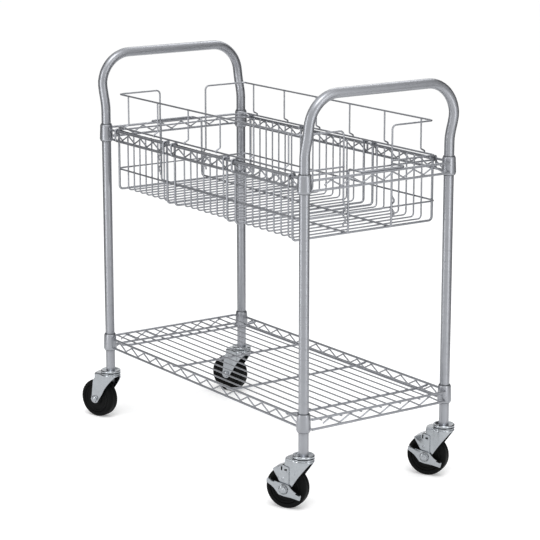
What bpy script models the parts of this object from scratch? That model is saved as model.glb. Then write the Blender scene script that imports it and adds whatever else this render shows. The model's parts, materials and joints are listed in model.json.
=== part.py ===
"""Wheeled wire cart for hanging files.

Two bent tube handles stand on four swivel casters and carry a wire shelf near the floor and
a truss frame at the top. A wire basket in three bays hangs inside the frame, and a file rail
stands on each long side of it. The two casters at the right end have side-lock brakes.

Metres, +Z up, X along the cart, Y across it (minus Y is the near side). The origin is on the
floor, midway between the four posts.
"""

import math

import bmesh
import bpy
from mathutils import Matrix, Vector

CLEARANCE = 0.0003
SHARP_ANGLE = 35.0

# Posts and handles. The handle rises from the upper frame's height.
POST_SPACING_X = 0.876
POST_SPACING_Y = 0.419
POST_DIAMETER = 0.024
POST_WALL = 0.0015
HANDLE_RISE = 0.2015
HANDLE_CORNER_RADIUS = 0.080
HANDLE_BOW = 0.015
BOW_FOOT_RISE = 0.0565
BOW_TOP_DROP = 0.070
BOW_STEPS = 3
HANDLE_BEND_STEPS = 5
POST_ROUNDNESS = 4
POST_INSIDE_ROUNDNESS = 1

# Corner collars and the split sleeves that lock them to the posts
LOWER_SHELF_HEIGHT = 0.2095
UPPER_FRAME_HEIGHT = 0.7685
COLLAR_HEIGHT = 0.043
COLLAR_WALL = 0.0013
COLLAR_FLARE = 0.0018
COLLAR_CHAMFER = 0.004
SLEEVE_WALL = 0.001
SLEEVE_SHOWING = 0.0015
ROUND_SIDES = 12

# Truss frames of the shelf and of the basket frame
TRUSS_TOP_RISE = 0.0095
TRUSS_DEPTH = 0.024
RIM_WIRE = 0.006
ZIGZAG_WIRE = 0.0038
ZIGZAG_PITCH_LONG = 0.0595
ZIGZAG_PITCH_END = 0.0593
RIM_END_SHORT = 0.006
COLLAR_SKIN = 0.0004
WELD_BITE = 0.0009

# Shelf deck. Gaps are from the post centres.
DECK_WIRE = 0.0036
DECK_WIRE_COUNT = 13
DECK_EDGE_GAP = 0.0355
DECK_OVERHANG = 0.006
CROSS_WIRE = 0.006
CROSS_WIRE_END_GAP = 0.066
CROSS_WIRE_COUNT = 4

# Hanging basket. Its end gap is from the post centres, its depth from the upper frame's height.
BASKET_END_GAP = 0.054
BASKET_DEPTH = 0.1405
BASKET_CORNER = 0.008
BAY_COUNT = 3
BAY_GAP = 0.036
BAY_THIN_WIRES = 7
BAY_END_WIRE = 0.006
BAY_WIRE = 0.004
HANGER_WIRE = 0.005
HANGER_BEND = 0.0012
CRADLE_WIRE = 0.005
CRADLE_SPREAD = 0.126
CRADLE_BEND = 0.007
RING_WIRE = 0.0045
RING_STANDOFF = 0.0185
RING_RISE = 0.051
RING_CORNER = 0.012

# File rails, which rise from the upper frame's height
RAIL_WIRE = 0.0045
RAIL_RISE = 0.1025
RAIL_INSET = 0.0075
RAIL_RETURN_SPREAD = 0.141
RAIL_CORNER = 0.010
RAIL_TAIL_END = 0.0065
RAIL_POST_WIRE = 0.004
RAIL_POST_COUNT = 6
RAIL_POST_END_GAP = 0.0457
RAIL_KINK_HEIGHT = 0.010
RAIL_NOTCH = 0.011
RAIL_BULGE = 0.013
RAIL_BULGE_HEIGHT = 0.019

# Casters. Outlines are in the side view, from the axle: away from the post, then up.
WHEEL_DIAMETER = 0.1016
TYRE_WIDTH = 0.032
TYRE_FACETS = 24
TYRE_DEPTH = 0.0125
TYRE_ROUND = 0.006
HUB_DIAMETER = 0.034
WEB_THICKNESS = 0.024
SWIVEL_LEAD = 0.039
TRAIL_ANGLE_RIGHT = 210.0
TRAIL_ANGLE_LEFT = 201.0
AXLE_DIAMETER = 0.008
HEX_ACROSS = 0.0155
BOLT_HEAD_HEIGHT = 0.0053
NUT_HEIGHT = 0.0062
THREAD_END = 0.0015
FORK_INNER_WIDTH = 0.038
FORK_PLATE = 0.0025
FORK_RISE = 0.0725
FORK_FOOT_RADIUS = 0.012
FORK_FOOT_ANGLES = (-165.0, 30.0)
FORK_FOOT_STEPS = 5
FORK_REAR_EDGE = [(0.005, 0.052), (-0.001, 0.059)]
FORK_FRONT_EDGE = [(-0.031, 0.027), (-0.041, 0.038), (-0.055, 0.049)]
FORK_FRONT_DROP = 0.0105
RACE_DIAMETER = 0.053
RACE_SIDES = 16
RACE_CUP_HEIGHT = 0.0035
RACE_CAP_HEIGHT = 0.0066
KING_PIN_DIAMETER = 0.012
KING_RIVET_DIAMETER = 0.018
KING_RIVET_HEIGHT = 0.003
STEM_DIAMETER = 0.011
STEM_LENGTH = 0.038

# Side-lock brakes on the right-hand casters, outlined from the axle too
SHOE_PLATE = 0.002
SHOE_GAP = 0.0022
SHOE_START_ANGLE = 62.0
SHOE_END_ANGLE = 80.0
SHOE_STEPS = 3
SHOE_REACH = 0.012
SHOE_HINGE = (-0.0074, 0.0476)
SHOE_HINGE_DIAMETER = 0.005
SHOE_FRONT_EDGE = [(0.0, 0.066), (-0.014, 0.058), (-0.014, 0.014)]
SHOE_FOOT = (0.008, 0.014)
LEVER_PLATE = 0.0024
LEVER_BOSS_RADIUS = 0.012
LEVER_ARM = [(0.016, -0.002), (0.026, 0.010), (0.041, 0.0155), (0.0445, 0.0235), (0.022, 0.0185)]
LEVER_TAB_DEPTH = 0.0135


def seat(first, second):
    """Distance between the centre lines of two wires that rest on each other."""
    return (first + second) / 2 * SQUARE_SHARE + CLEARANCE


def welded(first, second):
    """Distance between the centre lines of two wires that are welded together."""
    return (first + second) / 2 * SQUARE_SHARE - WELD_BITE


# What follows from the sizes above. A wire is a square bar with a round wire's section.
SQUARE_SHARE = math.sqrt(math.pi) / 2
HALF_X = POST_SPACING_X / 2
HALF_Y = POST_SPACING_Y / 2
HANDLE_TOP = UPPER_FRAME_HEIGHT + HANDLE_RISE
BOW_START = UPPER_FRAME_HEIGHT + BOW_FOOT_RISE
BOW_END = HANDLE_TOP - BOW_TOP_DROP
ROUND_SHARE = math.cos(math.pi / ROUND_SIDES)
SLEEVE_BORE = (POST_DIAMETER / 2 + CLEARANCE) / ROUND_SHARE
SLEEVE_RADIUS = SLEEVE_BORE + SLEEVE_WALL
COLLAR_BORE = SLEEVE_RADIUS + CLEARANCE
COLLAR_TOP_RADIUS = COLLAR_BORE + COLLAR_WALL
COLLAR_BASE_RADIUS = COLLAR_TOP_RADIUS + COLLAR_FLARE
END_RIM_X = HALF_X + COLLAR_BORE + COLLAR_SKIN + RIM_WIRE / 2 * SQUARE_SHARE
UPPER_RIM_Z = UPPER_FRAME_HEIGHT + TRUSS_TOP_RISE
DECK_SPREAD = POST_SPACING_Y - 2 * DECK_EDGE_GAP
CROSS_WIRE_SPREAD = POST_SPACING_X - 2 * CROSS_WIRE_END_GAP
BASKET_LENGTH = POST_SPACING_X - 2 * BASKET_END_GAP
BASKET_FLOOR = UPPER_FRAME_HEIGHT - BASKET_DEPTH
RING_HEIGHT = BASKET_FLOOR + RING_RISE
HANGER_TOP_Z = UPPER_RIM_Z + seat(RIM_WIRE, HANGER_WIRE)
BAY_END_Y = HALF_Y - seat(RIM_WIRE, BAY_END_WIRE)
RING_X = BASKET_LENGTH / 2 + RING_STANDOFF
RING_Y = BAY_END_Y - seat(BAY_END_WIRE, RING_WIRE)
BAY_WALL_Y = RING_Y - seat(RING_WIRE, BAY_WIRE)
HANGER_INNER_Y = BAY_WALL_Y + welded(BAY_WIRE, HANGER_WIRE)
HANGER_OUTER_Y = HALF_Y + seat(RIM_WIRE, HANGER_WIRE)
CRADLE_X = RING_X + seat(RING_WIRE, CRADLE_WIRE)
CRADLE_FLOOR_Z = BASKET_FLOOR + seat(BAY_END_WIRE, CRADLE_WIRE)
CRADLE_TOP_Z = UPPER_RIM_Z + seat(RIM_WIRE, CRADLE_WIRE)
RAIL_X = RING_X - seat(RING_WIRE, RAIL_WIRE)
RAIL_BASE_Y = HANGER_INNER_Y + HANGER_WIRE / 2
RAIL_BASE_Z = HANGER_TOP_Z + seat(HANGER_WIRE, RAIL_WIRE)
RAIL_TOP_Y = RAIL_BASE_Y - RAIL_INSET
RAIL_TOP = UPPER_FRAME_HEIGHT + RAIL_RISE
RAIL_TAIL_BOTTOM = RING_HEIGHT - RAIL_NOTCH / 2 - RAIL_BULGE_HEIGHT - RAIL_TAIL_END
RAIL_POST_SPREAD = 2 * (RAIL_X - RAIL_POST_END_GAP)
WHEEL_RADIUS = WHEEL_DIAMETER / 2
AXLE_HEIGHT = WHEEL_RADIUS * math.cos(math.pi / TYRE_FACETS)
HUB_LENGTH = FORK_INNER_WIDTH - 2 * CLEARANCE
FORK_OUTER_Y = FORK_INNER_WIDTH / 2 + FORK_PLATE
FORK_TOP = AXLE_HEIGHT + FORK_RISE
RACE_CUP_TOP = FORK_TOP + RACE_CUP_HEIGHT
RACE_CAP_FOOT = RACE_CUP_TOP + CLEARANCE
RACE_CAP_TOP = RACE_CAP_FOOT + RACE_CAP_HEIGHT
POST_BOTTOM = RACE_CAP_TOP + CLEARANCE
AXLE_BORE = (AXLE_DIAMETER / 2 + CLEARANCE) / ROUND_SHARE
SHOE_INNER_Y = FORK_OUTER_Y + CLEARANCE
LEVER_INNER_Y = SHOE_INNER_Y + SHOE_PLATE + CLEARANCE

PARTS = "Wire_File_Cart"
HELPERS = "Construction_Helpers"


def clear_scene():
    for obj in list(bpy.data.objects):
        bpy.data.objects.remove(obj)
    for name in (PARTS, HELPERS):
        collection = bpy.data.collections.new(name)
        bpy.context.scene.collection.children.link(collection)
    bpy.data.collections[HELPERS].hide_render = True


def finish(name, colour, metallic, roughness):
    material = bpy.data.materials.new(name)
    material.use_nodes = True
    shader = material.node_tree.nodes["Principled BSDF"]
    shader.inputs["Base Color"].default_value = (*colour, 1.0)
    shader.inputs["Metallic"].default_value = metallic
    shader.inputs["Roughness"].default_value = roughness
    return material


def make_finishes():
    return {
        "silver_paint": finish("Silver_Paint", (0.40, 0.41, 0.44), 0.6, 0.42),
        "zinc": finish("Bright_Zinc", (0.62, 0.64, 0.66), 1.0, 0.25),
        "rubber": finish("Black_Rubber", (0.012, 0.012, 0.012), 0.0, 0.6),
        "hub_plastic": finish("Black_Plastic", (0.02, 0.02, 0.02), 0.0, 0.45),
        "sleeve_plastic": finish("Grey_Plastic", (0.22, 0.23, 0.25), 0.0, 0.5),
    }


def link(name, mesh, collection):
    obj = bpy.data.objects.new(name, mesh)
    bpy.data.collections[collection].objects.link(obj)
    return obj


def evaluated_mesh(obj):
    bpy.context.view_layer.update()
    graph = bpy.context.evaluated_depsgraph_get()
    return bpy.data.meshes.new_from_object(obj.evaluated_get(graph))


def close_mesh(mesh):
    """Weld the loose caps of a mesh made from a curve, and turn its faces outwards."""
    sheet = bmesh.new()
    sheet.from_mesh(mesh)
    bmesh.ops.remove_doubles(sheet, verts=sheet.verts, dist=1e-6)
    bmesh.ops.recalc_face_normals(sheet, faces=sheet.faces)
    sheet.to_mesh(mesh)
    sheet.free()


def solid_from_curve(curve):
    obj = link(curve.name, curve, HELPERS)
    mesh = evaluated_mesh(obj)
    close_mesh(mesh)
    bpy.data.objects.remove(obj)
    return link(mesh.name, mesh, HELPERS)


def bar_sides(roundness):
    """Sides of a swept bar's section: four, and two more for each step of roundness."""
    return 4 + 2 * roundness


def swept(points, radius, roundness, closed=False, tilt=0.0):
    """A bar along the points, as a closed mesh."""
    curve = bpy.data.curves.new("bar", "CURVE")
    curve.dimensions = "3D"
    curve.bevel_depth = radius
    curve.bevel_resolution = roundness
    curve.use_fill_caps = True
    spline = curve.splines.new("POLY")
    spline.points.add(len(points) - 1)
    for knot, point in zip(spline.points, points):
        knot.co = (*point, 1.0)
        knot.tilt = tilt
    spline.use_cyclic_u = closed
    return solid_from_curve(curve)


def wire(points, diameter, closed=False):
    """A wire along the points, as a square bar whose flats face its bends."""
    corner = diameter / 2 * SQUARE_SHARE * math.sqrt(2)
    return swept(points, corner, 0, closed, math.pi / 4)


def rounded(points, radii, steps=2, closed=False):
    """The same path with its corners made arcs; radii is one radius, or one for each corner."""
    points = [Vector(point) for point in points]
    count = len(points)
    turning = range(count) if closed else range(1, count - 1)
    if not isinstance(radii, list):
        radii = [radii] * len(turning)
    path = [] if closed else [points[0]]
    for index, radius in zip(turning, radii):
        corner = points[index]
        before = (points[index - 1] - corner).normalized()
        after = (points[(index + 1) % count] - corner).normalized()
        half = before.angle(after) / 2
        centre = corner + (before + after).normalized() * (radius / math.sin(half))
        start = corner + before * (radius / math.tan(half)) - centre
        end = corner + after * (radius / math.tan(half)) - centre
        turn = start.angle(end)
        for step in range(steps + 1):
            share = step / steps
            early = math.sin((1 - share) * turn) / math.sin(turn)
            late = math.sin(share * turn) / math.sin(turn)
            path.append(centre + start * early + end * late)
    return path if closed else [*path, points[-1]]


def plate(outline, low_y, high_y):
    """A flat outline in the XZ plane, with its thickness between two values of Y."""
    curve = bpy.data.curves.new("plate", "CURVE")
    curve.dimensions = "2D"
    curve.fill_mode = "BOTH"
    curve.extrude = (high_y - low_y) / 2
    spline = curve.splines.new("POLY")
    spline.points.add(len(outline) - 1)
    for knot, (x, z) in zip(spline.points, outline):
        knot.co = (x, z, 0.0, 1.0)
    spline.use_cyclic_u = True
    solid = solid_from_curve(curve)
    solid.data.transform(Matrix.Rotation(math.pi / 2, 4, "X"))
    return shift(solid, (0, (low_y + high_y) / 2, 0))


def cylinder(radius, start, end, sides=ROUND_SIDES):
    """A cylinder, or a prism with few sides, between two points."""
    start, end = Vector(start), Vector(end)
    sheet = bmesh.new()
    bmesh.ops.create_cone(
        sheet,
        cap_ends=True,
        segments=sides,
        radius1=radius,
        radius2=radius,
        depth=(end - start).length,
    )
    aim = (end - start).to_track_quat("Z", "Y").to_matrix().to_4x4()
    middle = Matrix.Translation((start + end) / 2)
    bmesh.ops.transform(sheet, matrix=middle @ aim, verts=sheet.verts)
    mesh = bpy.data.meshes.new("cylinder")
    sheet.to_mesh(mesh)
    sheet.free()
    return link("cylinder", mesh, HELPERS)


def turned(profile, sides=ROUND_SIDES):
    """A profile of (radius, height) points spun about Z, down its outer side first."""
    sheet = bmesh.new()
    knots = [sheet.verts.new((radius, 0.0, height)) for radius, height in profile]
    for first, second in zip(knots, knots[1:]):
        sheet.edges.new((first, second))
    if profile[0][0] > 0:
        sheet.edges.new((knots[-1], knots[0]))
    mesh = bpy.data.meshes.new("turned")
    sheet.to_mesh(mesh)
    sheet.free()
    obj = link("turned", mesh, HELPERS)
    spin = obj.modifiers.new("Spin", "SCREW")
    spin.steps = spin.render_steps = sides
    spin.use_merge_vertices = True
    spin.merge_threshold = 1e-5
    solid = evaluated_mesh(obj)
    bpy.data.objects.remove(obj)
    close_mesh(solid)
    return link("turned", solid, HELPERS)


def combine(pieces, operation):
    """One mesh from the first piece joined with, or cut by, all the others."""
    base, *others = pieces
    tools = bpy.data.collections.new("tools")
    for tool in others:
        tools.objects.link(tool)
    modifier = base.modifiers.new(operation.title(), "BOOLEAN")
    modifier.operation = operation
    modifier.solver = "EXACT"
    modifier.operand_type = "COLLECTION"
    modifier.collection = tools
    mesh = evaluated_mesh(base)
    for piece in pieces:
        bpy.data.objects.remove(piece)
    bpy.data.collections.remove(tools)
    return link("combined", mesh, HELPERS)


def weld(pieces):
    return combine(pieces, "UNION")


def cut(solid, cutters):
    return combine([solid, *cutters], "DIFFERENCE")


def shift(solid, offset):
    solid.data.transform(Matrix.Translation(offset))
    return solid


def place(name, solid, material, parent=None, origin=(0, 0, 0)):
    """Hand a finished solid over as a named part, with its origin at the given point."""
    mesh = shift(solid, -Vector(origin)).data
    bpy.data.objects.remove(solid)
    mesh.name = name
    mesh.materials.clear()
    mesh.materials.append(material)
    mesh.shade_smooth()
    mesh.set_sharp_from_angle(angle=math.radians(SHARP_ANGLE))
    part = link(name, mesh, PARTS)
    part.location = origin
    part.parent = parent
    return part


def arc(centre, radius, start, end, steps):
    """Points on a circle in a side view, from one angle in degrees to another."""
    angles = [math.radians(start + (end - start) * step / steps) for step in range(steps + 1)]
    return [(centre[0] + radius * math.cos(a), centre[1] + radius * math.sin(a)) for a in angles]


def corners():
    """The four posts: a short name, then the signs of X and Y."""
    return (("near_left", -1, -1), ("near_right", 1, -1), ("far_left", -1, 1), ("far_right", 1, 1))


def handle_path(end, foot):
    """Centre line of a handle, up one post, over the top and down the other."""
    bend_start = HANDLE_TOP - HANDLE_CORNER_RADIUS
    bend_centre = (HALF_Y - HANDLE_CORNER_RADIUS, bend_start)
    lean_heights = [BOW_START + (bend_start - BOW_START) * step / BOW_STEPS for step in range(BOW_STEPS)]
    side = [(HALF_Y, height) for height in (foot, *lean_heights)]
    side += arc(bend_centre, HANDLE_CORNER_RADIUS, 0, 90, HANDLE_BEND_STEPS)

    def bowed(y, z):
        share = min(max((z - BOW_START) / (BOW_END - BOW_START), 0.0), 1.0)
        lean = HANDLE_BOW * share * share * (3 - 2 * share)
        return (end * (HALF_X + lean), y, z)

    return [bowed(-y, z) for y, z in side] + [bowed(y, z) for y, z in reversed(side)]


def make_handles(finishes):
    bore = POST_DIAMETER / 2 - POST_WALL
    for name, end in (("left_handle_tube", -1), ("right_handle_tube", 1)):
        outside = swept(handle_path(end, POST_BOTTOM), POST_DIAMETER / 2, POST_ROUNDNESS)
        inside = swept(handle_path(end, POST_BOTTOM - POST_DIAMETER), bore, POST_INSIDE_ROUNDNESS)
        place(name, cut(outside, [inside]), finishes["silver_paint"])


def collar(x, y, level):
    """A corner collar: a ring that flares downwards and is chamfered at its foot."""
    top = level + COLLAR_HEIGHT / 2
    foot = level - COLLAR_HEIGHT / 2
    profile = [
        (COLLAR_BORE, top),
        (COLLAR_TOP_RADIUS, top),
        (COLLAR_BASE_RADIUS, foot + COLLAR_CHAMFER),
        (COLLAR_TOP_RADIUS, foot),
        (COLLAR_BORE, foot),
    ]
    return shift(turned(profile), (x, y, 0))


def make_sleeves(finishes):
    for level_name, level in (("lower", LOWER_SHELF_HEIGHT), ("upper", UPPER_FRAME_HEIGHT)):
        top = level + COLLAR_HEIGHT / 2
        foot = level - COLLAR_HEIGHT / 2
        profile = [
            (SLEEVE_BORE, top + SLEEVE_SHOWING),
            (SLEEVE_RADIUS, top + SLEEVE_SHOWING),
            (SLEEVE_RADIUS, foot - SLEEVE_SHOWING),
            (SLEEVE_BORE, foot - SLEEVE_SHOWING),
        ]
        for corner, sign_x, sign_y in corners():
            sleeve = shift(turned(profile), (sign_x * HALF_X, sign_y * HALF_Y, 0))
            place(f"{level_name}_sleeve_{corner}", sleeve, finishes["sleeve_plastic"])


def truss(level, length, pitch, at):
    """Two rim wires with a zigzag between; at turns a distance along it and a height to a point."""
    high = level + TRUSS_TOP_RISE
    low = high - TRUSS_DEPTH
    peaks = int((length - RIM_WIRE) / pitch)
    zigzag = [at((step - peaks) * pitch / 2, high if step % 2 else low) for step in range(2 * peaks + 1)]
    rims = [wire([at(-length / 2, z), at(length / 2, z)], RIM_WIRE) for z in (high, low)]
    return [*rims, wire(zigzag, ZIGZAG_WIRE)]


def end_truss(level, end):
    length = POST_SPACING_Y - 2 * RIM_END_SHORT
    pieces = truss(level, length, ZIGZAG_PITCH_END, lambda run, z: (end * END_RIM_X, run, z))
    return pieces + [collar(end * HALF_X, side * HALF_Y, level) for side in (-1, 1)]


def side_truss(level, side, end_gap):
    length = POST_SPACING_X - 2 * end_gap
    return truss(level, length, ZIGZAG_PITCH_LONG, lambda run, z: (run, side * HALF_Y, z))


def make_lower_shelf(finishes):
    pieces = []
    for sign in (-1, 1):
        pieces += end_truss(LOWER_SHELF_HEIGHT, sign)
        pieces += side_truss(LOWER_SHELF_HEIGHT, sign, COLLAR_BORE + COLLAR_SKIN)
    rim_z = LOWER_SHELF_HEIGHT + TRUSS_TOP_RISE
    deck_z = rim_z - welded(RIM_WIRE, DECK_WIRE)
    reach = END_RIM_X + DECK_OVERHANG
    for index in range(DECK_WIRE_COUNT):
        y = DECK_SPREAD * (index / (DECK_WIRE_COUNT - 1) - 0.5)
        pieces.append(wire([(-reach, y, deck_z), (reach, y, deck_z)], DECK_WIRE))
    flat = (DECK_SPREAD / 2 + CROSS_WIRE, deck_z - seat(DECK_WIRE, CROSS_WIRE))
    tip = (HALF_Y + WELD_BITE, rim_z - welded(RIM_WIRE, CROSS_WIRE))
    for index in range(CROSS_WIRE_COUNT):
        x = CROSS_WIRE_SPREAD * (index / (CROSS_WIRE_COUNT - 1) - 0.5)
        half = [(x, *flat), (x, *tip)]
        pieces.append(wire([(x, -y, z) for x, y, z in reversed(half)] + half, CROSS_WIRE))
    place("lower_wire_shelf", weld(pieces), finishes["silver_paint"])


def make_upper_frame(finishes):
    for name, end in (("left", -1), ("right", 1)):
        solid = weld(end_truss(UPPER_FRAME_HEIGHT, end))
        place(f"upper_{name}_end_truss", solid, finishes["silver_paint"])
    for name, side in (("near", -1), ("far", 1)):
        solid = weld(side_truss(UPPER_FRAME_HEIGHT, side, COLLAR_BASE_RADIUS + CLEARANCE))
        place(f"upper_{name}_side_truss", solid, finishes["silver_paint"])


def hanger_loop(first_x, last_x, side):
    """A closed wire folded over the frame's top rim: inside run, hook, outside run, hook."""
    hook = [
        (HANGER_INNER_Y, UPPER_RIM_Z),
        (HANGER_INNER_Y, HANGER_TOP_Z),
        (HANGER_OUTER_Y, HANGER_TOP_Z),
        (HANGER_OUTER_Y, UPPER_RIM_Z - TRUSS_DEPTH),
    ]
    path = [(first_x, side * y, z) for y, z in hook]
    path += [(last_x, side * y, z) for y, z in reversed(hook)]
    return wire(rounded(path, HANGER_BEND, steps=1, closed=True), HANGER_WIRE, closed=True)


def bay_wire(x, y, top, diameter):
    """One basket wire: down the near side, across the floor and up the far side."""
    half = [(x, y, BASKET_FLOOR), (x, y, top)]
    path = [(x, -y, z) for x, y, z in reversed(half)] + half
    return wire(rounded(path, BASKET_CORNER, steps=1), diameter)


def make_basket_bays(finishes):
    bay_length = (BASKET_LENGTH - (BAY_COUNT - 1) * BAY_GAP) / BAY_COUNT
    for bay in range(BAY_COUNT):
        first_x = -BASKET_LENGTH / 2 + bay * (bay_length + BAY_GAP)
        last_x = first_x + bay_length
        pieces = [hanger_loop(first_x, last_x, side) for side in (-1, 1)]
        end_top = HANGER_TOP_Z - WELD_BITE
        pieces += [bay_wire(x, BAY_END_Y, end_top, BAY_END_WIRE) for x in (first_x, last_x)]
        for index in range(BAY_THIN_WIRES):
            x = first_x + bay_length * (index + 1) / (BAY_THIN_WIRES + 1)
            pieces.append(bay_wire(x, BAY_WALL_Y, UPPER_RIM_Z + WELD_BITE, BAY_WIRE))
        place(f"basket_bay_{bay + 1}", weld(pieces), finishes["silver_paint"])


def make_basket_ties(finishes):
    """The wires that tie the bays together: a cradle under them and a ring at half height."""
    y = CRADLE_SPREAD / 2
    half = [
        (END_RIM_X, -y, CRADLE_TOP_Z),
        (CRADLE_X, -y, CRADLE_TOP_Z),
        (CRADLE_X, -y, CRADLE_FLOOR_Z),
    ]
    near = half + [(-x, y, z) for x, y, z in reversed(half)]
    cradle = near + [(x, -y, z) for x, y, z in reversed(near)]
    cradle = wire(rounded(cradle, CRADLE_BEND, closed=True), CRADLE_WIRE, closed=True)
    place("basket_cradle", cradle, finishes["silver_paint"])
    loop = [(-RING_X, -RING_Y), (RING_X, -RING_Y), (RING_X, RING_Y), (-RING_X, RING_Y)]
    loop = rounded([(x, y, RING_HEIGHT) for x, y in loop], RING_CORNER, closed=True)
    place("basket_ring", wire(loop, RING_WIRE, closed=True), finishes["silver_paint"])


def rail_top_path(side):
    """Up one end, with a bulge below and above the basket ring, along the top and down again."""
    y = side * RAIL_RETURN_SPREAD / 2
    tail = [(RAIL_X, y, RAIL_TAIL_BOTTOM)]
    for sign in (-1, 1):
        near = RING_HEIGHT + sign * RAIL_NOTCH / 2
        far = near + sign * RAIL_BULGE_HEIGHT
        bulge = [(RAIL_X, y, near), (RAIL_X + RAIL_BULGE, y, (near + far) / 2), (RAIL_X, y, far)]
        tail += bulge[::sign]
    top_y = side * RAIL_TOP_Y
    bends = [tail[-1], (RAIL_X, y, RAIL_TOP), (RAIL_X, top_y, RAIL_TOP), (0, top_y, RAIL_TOP)]
    half = tail[:-1] + rounded(bends, RAIL_CORNER)[:-1]
    return half + [(-x, y, z) for x, y, z in reversed(half)]


def rail_base_path(side):
    """Along the basket's hooks, with a return across each end that butts on the rail's tails."""
    end_y = side * (RAIL_RETURN_SPREAD / 2 + RAIL_WIRE / 2 * SQUARE_SHARE + CLEARANCE)
    half = [(RAIL_X, end_y, RAIL_BASE_Z), (RAIL_X, side * RAIL_BASE_Y, RAIL_BASE_Z)]
    return rounded(half + [(-x, y, z) for x, y, z in reversed(half)], RAIL_CORNER)


def make_file_rails(finishes):
    for name, side in (("near", -1), ("far", 1)):
        base = wire(rail_base_path(side), RAIL_WIRE)
        place(f"file_rail_base_{name}", base, finishes["silver_paint"])
        pieces = [wire(rail_top_path(side), RAIL_WIRE)]
        top_y = side * RAIL_TOP_Y
        foot_y = side * (RAIL_BASE_Y + seat(RAIL_WIRE, RAIL_POST_WIRE))
        for index in range(RAIL_POST_COUNT):
            x = RAIL_POST_SPREAD * (index / (RAIL_POST_COUNT - 1) - 0.5)
            path = [
                (x, top_y, RAIL_TOP),
                (x, top_y, RAIL_BASE_Z + RAIL_KINK_HEIGHT),
                (x, foot_y, RAIL_BASE_Z + RAIL_POST_WIRE),
                (x, foot_y, RAIL_BASE_Z - RAIL_POST_WIRE / 2),
            ]
            pieces.append(wire(path, RAIL_POST_WIRE))
        place(f"file_rail_{name}", weld(pieces), finishes["silver_paint"])


def caster_stem():
    """Stem, raceway cap, king pin and rivet head, turned in one piece."""
    race = RACE_DIAMETER / 2
    pin = KING_PIN_DIAMETER / 2
    stem = STEM_DIAMETER / 2
    crown_foot = FORK_TOP - FORK_PLATE - CLEARANCE
    shoulder = (RACE_CAP_FOOT + RACE_CAP_TOP) / 2
    return turned(
        [
            (0.0, RACE_CAP_TOP + STEM_LENGTH),
            (stem, RACE_CAP_TOP + STEM_LENGTH),
            (stem, RACE_CAP_TOP),
            (POST_DIAMETER / 2, RACE_CAP_TOP),
            (race, shoulder),
            (race, RACE_CAP_FOOT),
            (pin, RACE_CAP_FOOT),
            (pin, crown_foot),
            (KING_RIVET_DIAMETER / 2, crown_foot),
            (pin, crown_foot - KING_RIVET_HEIGHT),
            (0.0, crown_foot - KING_RIVET_HEIGHT),
        ],
        sides=RACE_SIDES,
    )


def stem_socket():
    """The plastic plug that holds the stem in the foot of the post."""
    bore = (STEM_DIAMETER / 2 + CLEARANCE) / ROUND_SHARE
    post_bore = POST_DIAMETER / 2 - POST_WALL
    outside = post_bore * math.cos(math.pi / bar_sides(POST_INSIDE_ROUNDNESS)) - CLEARANCE
    top = POST_BOTTOM + STEM_LENGTH
    return turned([(bore, top), (outside, top), (outside, POST_BOTTOM), (bore, POST_BOTTOM)])


def from_axle(outline):
    """Outline points given from the axle, placed in the caster's side view."""
    return [(SWIVEL_LEAD + x, AXLE_HEIGHT + z) for x, z in outline]


def fork(braked):
    """Raceway cup, crown and two legs, pressed from one sheet, with the axle and pin holes."""
    race = RACE_DIAMETER / 2
    foot = from_axle(arc((0, 0), FORK_FOOT_RADIUS, *FORK_FOOT_ANGLES, FORK_FOOT_STEPS))
    rear_edge = from_axle(FORK_REAR_EDGE)
    rear_x = rear_edge[-1][0]
    crown = [(rear_x, FORK_TOP), (-race, FORK_TOP), (-race, FORK_TOP - FORK_FRONT_DROP)]
    outline = foot + rear_edge + crown + from_axle(FORK_FRONT_EDGE[::-1])
    inner = FORK_INNER_WIDTH / 2
    pieces = [plate(outline, -FORK_OUTER_Y, -inner), plate(outline, inner, FORK_OUTER_Y)]
    crown_side = inner + FORK_PLATE / 2
    crown_top = FORK_TOP - CLEARANCE
    front_x = -race + CLEARANCE
    crown_view = [
        (front_x, FORK_TOP - FORK_PLATE),
        (rear_x - CLEARANCE, FORK_TOP - FORK_PLATE),
        (rear_x - CLEARANCE, crown_top),
        (front_x, crown_top),
    ]
    pieces.append(plate(crown_view, -crown_side, crown_side))
    cup_foot = FORK_TOP - FORK_PLATE / 2
    cup = [(0.0, RACE_CUP_TOP), (race, RACE_CUP_TOP), (race, cup_foot), (0.0, cup_foot)]
    pieces.append(turned(cup, sides=RACE_SIDES))
    if braked:
        x, z = from_axle([SHOE_HINGE])[0]
        tip = SHOE_INNER_Y + SHOE_PLATE
        pieces.append(cylinder(SHOE_HINGE_DIAMETER / 2, (x, inner + FORK_PLATE / 2, z), (x, tip, z)))
    pin_bore = (KING_PIN_DIAMETER / 2 + CLEARANCE) / math.cos(math.pi / RACE_SIDES)
    past = 2 * FORK_PLATE
    axle_hole = cylinder(
        AXLE_BORE,
        (SWIVEL_LEAD, -FORK_OUTER_Y - past, AXLE_HEIGHT),
        (SWIVEL_LEAD, FORK_OUTER_Y + past, AXLE_HEIGHT),
    )
    pin_hole = cylinder(pin_bore, (0, 0, FORK_TOP - past), (0, 0, RACE_CUP_TOP + past), RACE_SIDES)
    return cut(weld(pieces), [axle_hole, pin_hole])


def axle_bolt(nut_face):
    """Hex head, shank and the end of the thread that shows past the nut."""
    head_face = -FORK_OUTER_Y - CLEARANCE
    thread_end = nut_face + NUT_HEIGHT + THREAD_END
    shank = cylinder(AXLE_DIAMETER / 2, (0, head_face - BOLT_HEAD_HEIGHT / 2, 0), (0, thread_end, 0))
    head_radius = HEX_ACROSS / 2 / math.cos(math.pi / 6)
    head = cylinder(head_radius, (0, head_face - BOLT_HEAD_HEIGHT, 0), (0, head_face, 0), sides=6)
    return weld([head, shank])


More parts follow.
